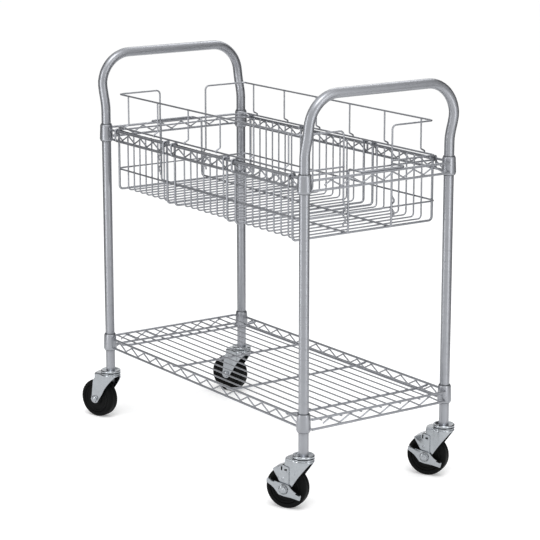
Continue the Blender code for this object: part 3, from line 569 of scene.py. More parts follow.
def black_plastic(tree, sockets, place, finishes):
    """Moulded polypropylene: near black, with a soft sheen."""
    moulded(tree, sockets, place, finishes.plastic, 1.1 * MM, 0.34, 0.5)


def grey_nylon(tree, sockets, place, finishes):
    """Moulded nylon: mid grey and waxy."""
    moulded(tree, sockets, place, finishes.sleeve, 0.9 * MM, 0.45, 0.6)


# For each finish: the material's name, what dresses it, and the frame's slot
FINISHES = {
    "silver": ("Silver_Powder_Coat_Baked", silver_powder_coat, "silver_paint"),
    "zinc": ("Zinc_Plate_On_Pressed_Steel", bright_zinc_plate, "zinc"),
    "rubber": ("Black_Rubber_Moulded", black_rubber, "rubber"),
    "plastic": ("Black_Plastic_Moulded", black_plastic, "hub_plastic"),
    "sleeve": ("Grey_Nylon_Moulded", grey_nylon, "sleeve_plastic"),
}


def finish_named(kind):
    """The shared material of a finish, made the first time that it is asked for."""
    name, dress, _ = FINISHES[kind]
    material = bpy.data.materials.get(name)
    if material is None:
        material, tree, sockets = start_material(name)
        place = add_node(tree, "ShaderNodeTexCoord").outputs["Object"]
        dress(tree, sockets, place, bpy.context.scene.file_cart_finishes)
    return material


def link_object(name, sheet):
    """A new object in the scene that takes over a bmesh."""
    mesh = bpy.data.meshes.new(name)
    sheet.to_mesh(mesh)
    sheet.free()
    obj = bpy.data.objects.new(name, mesh)
    bpy.context.scene.collection.objects.link(obj)
    return obj


def finish_piece(sheet, kind, body, *nodes, name=None):
    """Turn a bmesh into the piece that stands for one or more nodes and rides on their body.

    The piece is named for its first node, unless a name is given.
    """
    bmesh.ops.recalc_face_normals(sheet, faces=sheet.faces)
    piece = link_object(name or nodes[0].title(), sheet)
    piece.data.shade_smooth()
    piece.data.set_sharp_from_angle(angle=SHARP_ANGLE)
    piece.data.materials.append(finish_named(kind))
    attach(piece, body)
    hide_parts(*nodes)


def fillet(points, radius, closed=False):
    """The path with its corners made arcs; radius is one value, or one for each corner."""
    points = [Vector(point) for point in points]
    count = len(points)
    turning = range(count) if closed else range(1, count - 1)
    radii = radius if isinstance(radius, list) else [radius] * len(turning)
    path = [] if closed else [points[0]]
    for index, size in zip(turning, radii):
        corner = points[index]
        before = points[index - 1] - corner
        after = points[(index + 1) % count] - corner
        half = before.angle(after) / 2
        turn = math.pi - 2 * half
        room = min(before.length, after.length) * CORNER_SHARE
        reach = min(size / math.tan(half), room)
        inset = reach * math.tan(half)
        centre = corner + (before.normalized() + after.normalized()).normalized() * inset / math.sin(half)
        start = corner + before.normalized() * reach - centre
        end = corner + after.normalized() * reach - centre
        steps = max(2, round(turn / ARC_STEP))
        for step in range(steps + 1):
            early = math.sin((1 - step / steps) * turn) / math.sin(turn)
            late = math.sin(step / steps * turn) / math.sin(turn)
            path.append(centre + start * early + end * late)
    return path if closed else [*path, points[-1]]


def both_sides(half, axis):
    """A row of points that goes on as its own mirror image across an axis, back to the start."""
    signs = [-1 if index == axis else 1 for index in range(len(half[0]))]
    image = [tuple(sign * value for sign, value in zip(signs, point)) for point in half]
    return half + image[::-1]


def arc(radius, start, end, steps, centre=(0, 0)):
    """Points on a circle in a side view, from one angle in degrees to another."""
    angles = [math.radians(start + (end - start) * step / steps) for step in range(steps + 1)]
    return [(centre[0] + radius * math.cos(a), centre[1] + radius * math.sin(a)) for a in angles]


def spaced(count, spread):
    """Evenly spaced places about zero."""
    return [spread * (index / (count - 1) - 0.5) for index in range(count)]


def rectangle(x, z, wide, tall):
    """Corners of an upright rectangle in a side view, from its middle and size in millimetres."""
    corners = ((-1, -1), (1, -1), (1, 1), (-1, 1))
    return [((x + side * wide / 2) * MM, (z + end * tall / 2) * MM) for side, end in corners]


def add_rings(sheet, rings, closed=False):
    """Skin a row of rings of points with faces, and cap the ends of an open row."""
    rows = [[sheet.verts.new(point) for point in ring] for ring in rings]
    sides = len(rows[0])
    pairs = [(first, second, 0) for first, second in zip(rows, rows[1:])]
    if closed:
        last, first = rows[-1], rows[0]
        shift = min(range(sides), key=lambda step: (last[0].co - first[step].co).length)
        pairs.append((last, first, shift))
    else:
        sheet.faces.new(rows[0])
        sheet.faces.new(rows[-1])
    for first, second, shift in pairs:
        for side in range(sides):
            after = (side + 1) % sides
            far = [second[(step + shift) % sides] for step in (after, side)]
            sheet.faces.new((first[side], first[after], *far))
    return [vert for row in rows for vert in row]


def add_tube(sheet, points, radius, closed=False, sides=WIRE_SIDES):
    """Sweep a round section along the points; radius is one value, or one for each point."""
    points = [Vector(point) for point in points]
    count = len(points)
    radii = radius if isinstance(radius, list) else [radius] * count
    rings = []
    normal = None
    for index, (point, size) in enumerate(zip(points, radii)):
        before = points[index - 1] if index or closed else point
        after = points[(index + 1) % count] if index < count - 1 or closed else point
        along = ((point - before).normalized() + (after - point).normalized()).normalized()
        normal = along.orthogonal() if normal is None else normal - along * normal.dot(along)
        normal.normalize()
        across = along.cross(normal)
        angles = [2 * math.pi * side / sides for side in range(sides)]
        rings.append([point + (normal * math.cos(a) + across * math.sin(a)) * size for a in angles])
    add_rings(sheet, rings, closed)


def add_wire(sheet, points, diameter, closed=False):
    """A round wire along the points. The ends of an open one are cut with a small chamfer."""
    radius = diameter / 2
    if closed:
        return add_tube(sheet, points, radius, closed=True)
    points = [Vector(point) for point in points]
    start, end = points[0], points[-1]
    chamfer = radius * WIRE_CHAMFER
    first = start + (points[1] - start).normalized() * chamfer
    last = end + (points[-2] - end).normalized() * chamfer
    small = radius - chamfer
    path = [start, first, *points[1:-1], last, end]
    add_tube(sheet, path, [small, *[radius] * (len(path) - 2), small])


def add_bead(sheet, centre, wires, shares):
    """A weld bead: a low rounded lump whose half sizes along X, Y and Z are shares of some wires."""
    size = Vector([wire * share for wire, share in zip(wires, shares)])
    rings = []
    for row in range(1, BEAD_ROWS):
        lift = math.pi * (row / BEAD_ROWS - 0.5)
        ring = []
        for side in range(BEAD_SIDES):
            turn = 2 * math.pi * side / BEAD_SIDES
            outward = (math.cos(turn) * math.cos(lift), math.sin(turn) * math.cos(lift), math.sin(lift))
            ring.append(Vector(centre) + Vector(outward) * size)
        rings.append(ring)
    add_rings(sheet, rings)


def add_turned(sheet, profile, place=Matrix(), sides=TURNED_SIDES, start=0.0, sweep=2 * math.pi):
    """Spin a closed profile of (radius, height) points about Z, all round or through an arc."""
    whole = sweep == 2 * math.pi
    count = sides if whole else sides + 1
    rings = []
    for step in range(count):
        angle = start + sweep * step / sides
        outward = Vector((math.cos(angle), math.sin(angle), 0))
        rings.append([place @ (outward * radius + Vector((0, 0, height))) for radius, height in profile])
    verts = add_rings(sheet, rings, whole)
    if min(radius for radius, _ in profile) < ON_AXIS:
        bmesh.ops.remove_doubles(sheet, verts=verts, dist=ON_AXIS)
        bare = [edge for edge in sheet.edges if not edge.link_faces]
        bmesh.ops.delete(sheet, geom=bare, context="EDGES")


def round_profile(points, radius):
    """A closed profile of (radius, height) points, with its corners eased."""
    eased = fillet([(r, 0, h) for r, h in points], radius, closed=True)
    return [(point.x, point.z) for point in eased]


def add_plate(sheet, outline, low, high, ease, place=Matrix()):
    """A flat outline in the XZ plane between two values of Y, with its corners and edges eased."""
    corner, edge = ease
    plate = bmesh.new()
    points = fillet([(x, low, z) for x, z in outline], corner, closed=True)
    face = plate.faces.new([plate.verts.new(point) for point in points])
    grown = bmesh.ops.extrude_face_region(plate, geom=[face])["geom"]
    risen = [item for item in grown if isinstance(item, bmesh.types.BMVert)]
    bmesh.ops.translate(plate, verts=risen, vec=(0, high - low, 0))
    bmesh.ops.recalc_face_normals(plate, faces=plate.faces)
    rims = [item for item in plate.edges if item.calc_face_angle(0) > RIM_ANGLE]
    bmesh.ops.bevel(plate, geom=rims, offset=edge, segments=2, profile=0.5, affect="EDGES")
    bmesh.ops.transform(plate, matrix=place, verts=plate.verts)
    mesh = bpy.data.meshes.new("Plate")
    plate.to_mesh(mesh)
    plate.free()
    sheet.from_mesh(mesh)
    bpy.data.meshes.remove(mesh)


def take_back(first, *others):
    """The first of some temporary objects as a bmesh, with its modifiers; all of them are removed."""
    bpy.context.view_layer.update()
    sheet = bmesh.new()
    sheet.from_object(first, bpy.context.evaluated_depsgraph_get())
    for obj in (first, *others):
        mesh = obj.data
        bpy.data.objects.remove(obj)
        bpy.data.meshes.remove(mesh)
    return sheet


def carve(sheet, cutter):
    """Cut one bmesh out of another, and hand back the result as a new bmesh."""
    for part in (sheet, cutter):
        bmesh.ops.recalc_face_normals(part, faces=part.faces)
    stock, tool = link_object("Stock", sheet), link_object("Cutter", cutter)
    modifier = stock.modifiers.new("Carve", "BOOLEAN")
    modifier.object = tool
    modifier.operation = "DIFFERENCE"
    return take_back(stock, tool)


def thicken(sheet, thickness, edge):
    """Give an open sheet its thickness inwards, and ease the edges that this leaves."""
    stock = link_object("Stock", sheet)
    solid = stock.modifiers.new("Solid", "SOLIDIFY")
    solid.thickness = thickness
    solid.offset = -1
    ease = stock.modifiers.new("Ease", "BEVEL")
    ease.width = edge
    ease.segments = 2
    ease.angle_limit = RIM_ANGLE
    return take_back(stock)


def handle_line(end, sizes):
    """Points and radii of a handle: up one post with its grooves, over the bowed top and down."""
    radius = sizes.post / 2
    foot = POST_FOOT_Z - POST_SINK
    rise = [(foot, radius - TUBE_CHAMFER), (foot + TUBE_CHAMFER, radius)]
    level = UPPER_LEVEL - COLLAR_HEIGHT / 2 - GROOVE_TOP_GAP
    grooves = []
    while level > POST_FOOT_Z + GROOVE_FOOT_GAP:
        grooves.append(level)
        level -= sizes.groove_pitch
    for level in reversed(grooves):
        for offset, depth in GROOVE_PROFILE:
            rise.append((level + offset * MM, radius - depth * sizes.groove_depth))
    bend = HANDLE_TOP - HANDLE_CORNER
    rise += [(BOW_START + (bend - BOW_START) * step / BOW_STEPS, radius) for step in range(BOW_STEPS)]
    side = [(HALF_Y, height, size) for height, size in rise]
    corner = arc(HANDLE_CORNER, 0, 90, HANDLE_STEPS, centre=(HALF_Y - HANDLE_CORNER, bend))
    side += [(y, z, radius) for y, z in corner]
    near = []
    for y, z, _ in side:
        share = min(max((z - BOW_START) / (BOW_END - BOW_START), 0), 1)
        lean = HANDLE_BOW * share * share * (3 - 2 * share)
        near.append((end * (HALF_X + lean), -y, z))
    radii = [size for _, _, size in side]
    return both_sides(near, Y), radii + radii[::-1]


class FILE_CART_OT_handles(bpy.types.Operator):
    """Bend the two handle tubes, with the height grooves of their posts"""

    bl_idname = "file_cart.handles"
    bl_label = "Handles"

    def execute(self, context):
        for name, end in ENDS:
            sheet = bmesh.new()
            points, radii = handle_line(end, context.scene.file_cart_sizes)
            add_tube(sheet, points, radii, sides=TUBE_SIDES)
            piece_name = f"{name.title()}_Handle"
            finish_piece(sheet, "silver", "root", f"{name}_handle_tube", name=piece_name)
        return {"FINISHED"}


class FILE_CART_OT_sleeves(bpy.types.Operator):
    """Mould the split sleeves that wedge the collars on the posts"""

    bl_idname = "file_cart.sleeves"
    bl_label = "Split Sleeves"

    def execute(self, context):
        bore = context.scene.file_cart_sizes.post / 2 + SLEEVE_FIT
        half = SLEEVE_HEIGHT / 2
        section = [(bore, -half), (SLEEVE_RADIUS, -half), (SLEEVE_RADIUS, half), (bore, half)]
        shell = round_profile(section, SLEEVE_EDGE)
        for level_name, level in (("lower", LOWER_LEVEL), ("upper", UPPER_LEVEL)):
            for corner in CORNERS:
                sheet = bmesh.new()
                place = Matrix.Translation((*POSTS[corner].xy, level))
                for side in range(2):
                    start = math.pi * side + SLEEVE_TURN + SLEEVE_SLIT / 2
                    add_turned(sheet, shell, place, SMALL_SIDES, start, math.pi - SLEEVE_SLIT)
                finish_piece(sheet, "sleeve", "root", f"{level_name}_sleeve_{corner}")
        return {"FINISHED"}


def add_collar(sheet, x, y, level):
    """A corner collar: it flares downwards and is chamfered at top and foot."""
    top, foot = level + COLLAR_HEIGHT / 2, level - COLLAR_HEIGHT / 2
    bore = SLEEVE_RADIUS + COLLAR_FIT
    section = [
        (bore, foot),
        (COLLAR_RADIUS - COLLAR_FOOT_CHAMFER[0], foot),
        (COLLAR_RADIUS, foot + COLLAR_FOOT_CHAMFER[1]),
        (COLLAR_RADIUS - COLLAR_TOP_CHAMFER[0], top - COLLAR_TOP_CHAMFER[1]),
        (bore + COLLAR_LIP, top),
        (bore, top),
    ]
    add_turned(sheet, round_profile(section, COLLAR_EDGE), Matrix.Translation((x, y, 0)))


def rim_levels(level):
    """Heights of the upper and the lower rim of the trusses of one shelf."""
    return level + RIM_RISE, level + RIM_RISE - TRUSS_DEPTH


def add_truss(sheet, level, reach, pitch, at, sizes):
    """Two rim wires with a bent zigzag between; at turns a run along it and a height to a point."""
    high, low = rim_levels(level)
    for height in (high, low):
        add_wire(sheet, [at(-reach, height), at(reach, height)], sizes.rim)
    nest = (sizes.rim + sizes.zigzag) / 2 * ZIGZAG_NEST
    peaks = int((2 * reach - RIM_WIRE) / pitch)
    levels = (low + nest, high - nest)
    points = [Vector(at((step - peaks) * pitch / 2, levels[step % 2])) for step in range(2 * peaks + 1)]
    line = [points[0].lerp(points[1], ZIGZAG_START), *points[1:]]
    add_wire(sheet, fillet(line, ZIGZAG_BEND), sizes.zigzag)
    along = Vector(at(1, 0)) - Vector(at(0, 0))
    swell = sizes.zigzag / 2 + sizes.weld
    width = [swell * (1 + BEAD_STRETCH * abs(axis)) for axis in along.xy]
    for step, point in enumerate(points[1:], 1):
        rise = (sizes.rim + sizes.zigzag) * BEAD_RISE
        toward_rim = Vector((0, 0, rise if step % 2 else -rise))
        add_bead(sheet, point + toward_rim, (*width, sizes.zigzag), ZIGZAG_BEAD)


def add_end_truss(sheet, level, end, sizes):
    """The truss across one end of a shelf, welded to the collars of its two corners."""
    reach = HALF_Y - RIM_END_SHORT
    add_truss(sheet, level, reach, ZIGZAG_PITCH_END, lambda run, z: (end * END_RIM_X, run, z), sizes)
    seam_x = end * (END_RIM_X - sizes.rim / 2)
    for side in (-1, 1):
        add_collar(sheet, end * HALF_X, side * HALF_Y, level)
        for height in rim_levels(level):
            seam = (seam_x, side * (reach - END_SEAM_INSET), height)
            add_bead(sheet, seam, [sizes.rim] * 3, END_SEAM_BEAD)


def add_side_truss(sheet, level, side, reach, sizes):
    """The truss along one side of a shelf, welded to the collars that it ends at."""
    add_truss(sheet, level, reach, ZIGZAG_PITCH_LONG, lambda run, z: (run, side * HALF_Y, z), sizes)
    for end in (-1, 1):
        for height in rim_levels(level):
            seam = (end * (HALF_X - COLLAR_RADIUS - SIDE_SEAM_GAP), side * HALF_Y, height)
            add_bead(sheet, seam, [sizes.rim] * 3, SIDE_SEAM_BEAD)


class FILE_CART_OT_lower_shelf(bpy.types.Operator):
    """Weld up the lower shelf: collars, trusses, deck wires and cross wires"""

    bl_idname = "file_cart.lower_shelf"
    bl_label = "Lower Shelf"

    def execute(self, context):
        sizes = context.scene.file_cart_sizes
        sheet = bmesh.new()
        for sign in (-1, 1):
            add_end_truss(sheet, LOWER_LEVEL, sign, sizes)
            add_side_truss(sheet, LOWER_LEVEL, sign, HALF_X - SLEEVE_RADIUS - SIDE_RIM_GAP, sizes)
        rim_z = LOWER_LEVEL + RIM_RISE
        deck_z = rim_z - welded(RIM_WIRE, DECK_WIRE)
        cross_z = deck_z - seat(DECK_WIRE, CROSS_WIRE)
        reach = END_RIM_X + DECK_OVERHANG
        crossings = spaced(CROSS_COUNT, CROSS_SPREAD)
        for y in spaced(DECK_COUNT, DECK_SPREAD):
            add_wire(sheet, [(-reach, y, deck_z), (reach, y, deck_z)], sizes.deck)
            for x in crossings:
                wires = (sizes.cross, sizes.deck, sizes.deck)
                add_bead(sheet, (x, y, (deck_z + cross_z) / 2), wires, DECK_BEAD)
            for end in (-1, 1):
                seam = (end * END_RIM_X, y, deck_z + sizes.deck * BEAD_SEAT)
                add_bead(sheet, seam, (sizes.rim, sizes.deck, sizes.deck), DECK_BEAD)
        tip_y, tip_z = -HALF_Y - WELD_BITE, rim_z - welded(RIM_WIRE, CROSS_WIRE)
        for x in crossings:
            half = [(x, tip_y, tip_z), (x, -DECK_SPREAD / 2 - CROSS_WIRE, cross_z)]
            add_wire(sheet, fillet(both_sides(half, Y), CROSS_BEND), sizes.cross)
            for side in (-1, 1):
                seam = (x, side * HALF_Y, rim_z - sizes.rim * BEAD_SEAT)
                add_bead(sheet, seam, (sizes.cross, sizes.rim, sizes.rim), CROSS_BEAD)
        finish_piece(sheet, "silver", "root", "lower_wire_shelf", name="Lower_Shelf")
        return {"FINISHED"}


class FILE_CART_OT_upper_frame(bpy.types.Operator):
    """Weld up the truss frame that carries the basket"""

    bl_idname = "file_cart.upper_frame"
    bl_label = "Upper Frame"

    def execute(self, context):
        sizes = context.scene.file_cart_sizes
        for name, end in ENDS:
            sheet = bmesh.new()
            add_end_truss(sheet, UPPER_LEVEL, end, sizes)
            piece_name = f"Upper_{name.title()}_End"
            finish_piece(sheet, "silver", "root", f"upper_{name}_end_truss", name=piece_name)
        for name, side in SIDES:
            sheet = bmesh.new()
            add_side_truss(sheet, UPPER_LEVEL, side, SIDE_RIM_REACH, sizes)
            piece_name = f"Upper_{name.title()}_Side"
            finish_piece(sheet, "silver", "root", f"upper_{name}_side_truss", name=piece_name)
        return {"FINISHED"}


def hanger_loop(first_x, last_x, side):
    """A closed wire folded over the frame's top rim: inside run, hook, outside run, hook."""
    hook = [
        (HANGER_INNER_Y, UPPER_RIM_Z),
        (HANGER_INNER_Y, HANGER_TOP_Z),
        (HANGER_OUTER_Y, HANGER_TOP_Z),
        (HANGER_OUTER_Y, UPPER_RIM_Z - TRUSS_DEPTH),
    ]
    path = [(first_x, side * y, z) for y, z in hook]
    path += [(last_x, side * y, z) for y, z in reversed(hook)]
    bends = [HANGER_BEND, HANGER_BEND, HANGER_FOOT_BEND, LOOP_CORNER]
    return fillet(path, bends + bends[::-1], closed=True)


def bay_line(x, y, top):
    """One basket wire: down the near side, across the floor and up the far side."""
    return fillet(both_sides([(x, -y, top), (x, -y, BASKET_FLOOR)], Y), BAY_CORNER)


def add_end_tie(sheet, x, end, sizes):
    """The top wire of the basket's end, from one hanger loop's inside run across to the other's."""
    start = (x - end * LOOP_CORNER, -HANGER_INNER_Y, UPPER_RIM_Z)
    corner = (end * RING_X, -HANGER_INNER_Y, UPPER_RIM_Z)
    add_wire(sheet, fillet(both_sides([start, corner], Y), RING_CORNER), sizes.ring)
    for side in (-1, 1):
        seam = (x + end * sizes.ring / 2, side * HANGER_INNER_Y, UPPER_RIM_Z)
        add_bead(sheet, seam, [sizes.ring] * 3, TIE_BEAD)


class FILE_CART_OT_basket_bays(bpy.types.Operator):
    """Bend and weld the three basket bays"""

    bl_idname = "file_cart.basket_bays"
    bl_label = "Basket Bays"

    def execute(self, context):
        sizes = context.scene.file_cart_sizes
        for bay in range(1, BAY_COUNT + 1):
            node = f"basket_bay_{bay}"
            first_x = outer_line(node, X, -1, BAY_END_WIRE)
            last_x = outer_line(node, X, 1, BAY_END_WIRE)
            sheet = bmesh.new()
            for side in (-1, 1):
                add_wire(sheet, hanger_loop(first_x, last_x, side), sizes.hanger, closed=True)
            for x in (first_x, last_x):
                add_wire(sheet, bay_line(x, BAY_END_Y, HANGER_TOP_Z - WELD_BITE), sizes.bay_end)
            for index in range(BAY_THIN_WIRES):
                x = first_x + (last_x - first_x) * (index + 1) / (BAY_THIN_WIRES + 1)
                add_wire(sheet, bay_line(x, BAY_WALL_Y, UPPER_RIM_Z + WELD_BITE), sizes.bay)
                for side in (-1, 1):
                    seam = (x, side * (BAY_WALL_Y + HANGER_INNER_Y) / 2, UPPER_RIM_Z)
                    add_bead(sheet, seam, (sizes.bay, sizes.bay, sizes.hanger), BAY_BEAD)
            if bay == 1:
                add_end_tie(sheet, first_x, -1, sizes)
            if bay == BAY_COUNT:
                add_end_tie(sheet, last_x, 1, sizes)
            finish_piece(sheet, "silver", "root", node)
        return {"FINISHED"}


class FILE_CART_OT_basket_ties(bpy.types.Operator):
    """Bend the cradle under the bays and the ring round them"""

    bl_idname = "file_cart.basket_ties"
    bl_label = "Basket Ties"

    def execute(self, context):
        sizes = context.scene.file_cart_sizes
        corner = [
            (CRADLE_END_X, -CRADLE_Y, CRADLE_TOP_Z),
            (CRADLE_X, -CRADLE_Y, CRADLE_TOP_Z),
            (CRADLE_X, -CRADLE_Y, CRADLE_FLOOR_Z),
        ]
        cradle = both_sides(both_sides(corner, X), Y)
        ring = both_sides([(-RING_X, -RING_Y, RING_Z), (RING_X, -RING_Y, RING_Z)], Y)
        for node, loop, bend, diameter in (
            ("basket_cradle", cradle, CRADLE_BEND, sizes.cradle),
            ("basket_ring", ring, RING_CORNER, sizes.ring),
        ):
            sheet = bmesh.new()
            add_wire(sheet, fillet(loop, bend, closed=True), diameter, closed=True)
            finish_piece(sheet, "silver", "root", node)
        return {"FINISHED"}


def rail_top_line(side):
    """Up one end, with a bulge below and above the basket ring, along the top and down again."""
    y = side * RAIL_RETURN_Y
    tail = [(RAIL_X, y, RAIL_TAIL_Z)]
    for sign in (-1, 1):
        near = RING_Z + sign * RAIL_NOTCH / 2
        far = near + sign * RAIL_BULGE_HEIGHT
        bulge = [(RAIL_X, y, near), (RAIL_X + RAIL_BULGE, y, (near + far) / 2), (RAIL_X, y, far)]
        tail += bulge[::sign]
    top_y = side * (RAIL_BASE_Y - RAIL_INSET)
    half = tail + [(RAIL_X, y, RAIL_TOP_Z), (RAIL_X, top_y, RAIL_TOP_Z)]
    bends = [RAIL_BULGE_BEND] * (len(tail) - 1) + [RAIL_CORNER] * 2
    return fillet(both_sides(half, X), bends + bends[::-1])


def rail_base_line(side):
    """Along the basket's hooks, with a return across each end to meet the rail's tails."""
    end_y = side * (RAIL_RETURN_Y + RAIL_LAP)
    half = [(RAIL_X, end_y, RAIL_BASE_Z), (RAIL_X, side * RAIL_BASE_Y, RAIL_BASE_Z)]
    return fillet(both_sides(half, X), RAIL_CORNER)


class FILE_CART_OT_file_rails(bpy.types.Operator):
    """Bend and weld the two file rails"""

    bl_idname = "file_cart.file_rails"
    bl_label = "File Rails"

    def execute(self, context):
        sizes = context.scene.file_cart_sizes
        for name, side in SIDES:
            sheet = bmesh.new()
            add_wire(sheet, rail_top_line(side), sizes.rail)
            add_wire(sheet, rail_base_line(side), sizes.rail)
            top_y = side * (RAIL_BASE_Y - RAIL_INSET)
            foot_y = side * (RAIL_BASE_Y + seat(RAIL_WIRE, RAIL_POST_WIRE))
            wires = (sizes.rail_post, sizes.rail, sizes.rail_post)
            for x in spaced(RAIL_POST_COUNT, RAIL_POST_PITCH * (RAIL_POST_COUNT - 1)):
                path = [
                    (x, top_y, RAIL_TOP_Z),
                    (x, top_y, RAIL_BASE_Z + RAIL_KINK),
                    (x, foot_y, RAIL_BASE_Z + RAIL_POST_WIRE),
                    (x, foot_y, RAIL_BASE_Z - sizes.rail_post / 2),
                ]
                add_wire(sheet, fillet(path, RAIL_POST_BEND), sizes.rail_post)
                top_seam = (x, top_y, RAIL_TOP_Z - sizes.rail * BEAD_SEAT)
                for seam in (top_seam, (x, side * RAIL_BASE_Y, RAIL_BASE_Z)):
                    add_bead(sheet, seam, wires, RAIL_POST_BEAD)
            for end in (-1, 1):
                seam = (end * RAIL_X, side * RAIL_RETURN_Y, RAIL_BASE_Z)
                add_bead(sheet, seam, [sizes.rail] * 3, RAIL_END_BEAD)
            finish_piece(sheet, "silver", "root", f"file_rail_{name}", f"file_rail_base_{name}")
        return {"FINISHED"}


def caster_place(corner):
    """From a caster's own frame to the cart's: X away from the post, Y along the axle, Z up."""
    across = Vector(JOINTS[f"wheel_spin_{corner}"]["axis"])
    along = Vector((across.y, -across.x, 0))
    turn = Matrix((along, across, (0, 0, 1))).transposed().to_4x4()
    return Matrix.Translation((*POSTS[corner].xy, 0)) @ turn


def axle_place(corner):
    """As caster_place, from the middle of the axle."""
    return caster_place(corner) @ Matrix.Translation((SWIVEL_LEAD, 0, AXLE_HEIGHT))


ALONG_AXLE = Matrix.Rotation(-math.pi / 2, 4, "X")


class FILE_CART_OT_caster_stems(bpy.types.Operator):
    """Turn the caster stems with their dished raceway caps, and the sockets that hold them"""

    bl_idname = "file_cart.caster_stems"
    bl_label = "Caster Stems"

    def execute(self, context):
        stem = in_mm(SHAFT_TIP, up=STEM_TOP_Z) + in_mm(RACE_CAP, up=FORK_TOP + RACE_GAP)
        wall = context.scene.file_cart_sizes.post / 2 - TUBE_WALL
        rib = (STEM_TOP_Z - POST_FOOT_Z) / SOCKET_RIBS
        socket = [(SOCKET_BORE, POST_FOOT_Z), (wall - SOCKET_GROOVE, POST_FOOT_Z)]
        for index in range(SOCKET_RIBS):
            foot = POST_FOOT_Z + index * rib
            socket += [(wall - inset, foot + rib * share) for inset, share in SOCKET_RIB]
        socket += [(wall - SOCKET_GROOVE, STEM_TOP_Z), (SOCKET_BORE, STEM_TOP_Z)]
        for corner in CORNERS:
            for name, profile, kind, sides in (
                ("caster_stem", stem, "zinc", TURNED_SIDES),
                ("stem_socket", socket, "sleeve", SOCKET_SIDES),
            ):
                sheet = bmesh.new()
                add_turned(sheet, profile, caster_place(corner), sides)
                finish_piece(sheet, kind, "root", f"{name}_{corner}")
        return {"FINISHED"}


def along_edge(edge, x):
    """Height of an edge, given as points in order of x, at one x."""
    for (x0, z0), (x1, z1) in zip(edge, edge[1:]):
        if x0 <= x <= x1:
            return z0 + (z1 - z0) * (x - x0) / (x1 - x0)
    raise ValueError(f"{x} is off the edge")


def fork_bottom(x):
    """Lower edge of the fork leg at a distance past the axle."""
    foot_start = FORK_FRONT_EDGE[-1][0]
    if x >= foot_start:
        return -math.sqrt(max(FORK_FOOT**2 - x**2, 0))
    front = (-RACE_RADIUS - SWIVEL_LEAD, FORK_TOP - AXLE_HEIGHT - FORK_SKIRT)
    return along_edge([front, *FORK_FRONT_EDGE], x)


def fork_back(x):
    """Upper edge of the fork leg behind the crown, at a distance past the axle."""
    last = FORK_REAR_EDGE[-1][0]
    return math.sqrt(max(FORK_FOOT**2 - x**2, 0)) if x > last else along_edge(FORK_REAR_EDGE, x)


def fork_columns():
    """Plan of one side of the fork: points and outward normals, from the foot round to the front."""
    rear = SWIVEL_LEAD + FORK_REAR_EDGE[0][0]
    foot = SWIVEL_LEAD + FORK_FOOT
    radius = RACE_RADIUS - FORK_RACE_INSET
    join_angle = math.asin(FORK_OUTER_Y / radius)
    join = radius * math.cos(join_angle)
    shares = [(step / LEG_STEPS) ** LEG_CROWDING for step in range(LEG_STEPS + 1)]
    behind = [foot - (foot - rear) * share for share in shares]
    flat = [rear + (join - rear) * step / FLAT_STEPS for step in range(1, FLAT_STEPS)]
    columns = [((x, FORK_OUTER_Y), (0, 1)) for x in behind + flat]
    for step in range(SKIRT_STEPS + 1):
        angle = join_angle + (math.pi - join_angle) * step / SKIRT_STEPS
        outward = (math.cos(angle), math.sin(angle))
        columns.append(((radius * outward[0], radius * outward[1]), outward))
    return columns


def fork_column(place, outward, crowned, rows, shoulder):
    """Points of one column of the fork's sheet, by row: its leg from row 0 down, its bend above that.

    A row is a share of the leg's drop. A column behind the crown has neither the rows above the
    shoulder nor a bend.
    """
    x, y = place
    run = x - SWIVEL_LEAD
    bottom = fork_bottom(run)
    if not crowned:
        top = fork_back(run)
        leg = [(row, share) for row, share in enumerate(rows) if share >= shoulder]
        drop = (bottom - top) / (1 - shoulder)
        return {row: (x, y, top + (share - shoulder) * drop) for row, share in leg}
    drop = BEND_FOOT_Z - bottom
    column = {row: (x, y, BEND_FOOT_Z - share * drop) for row, share in enumerate(rows)}
    for step in range(1, BEND_STEPS + 1):
        angle = math.pi / 2 * step / BEND_STEPS
        inset = FORK_BEND * (1 - math.cos(angle))
        height = BEND_FOOT_Z + FORK_BEND * math.sin(angle)
        column[-step] = (x - outward[0] * inset, y - outward[1] * inset, height)
    return column


def close_crown(sheet, crown):
    """Fill the fork's crown inside a row of points, up to a rear edge that bulges outwards."""
    near, far = crown[0].co.copy(), crown[-1].co.copy()
    rear_edge = []
    for step in range(1, CROWN_STEPS):
        share = step / CROWN_STEPS
        bulge = Vector((CROWN_BULGE * 4 * share * (1 - share), 0, 0))
        rear_edge.append(sheet.verts.new(far.lerp(near, share) + bulge))
    sheet.faces.new(crown + rear_edge)


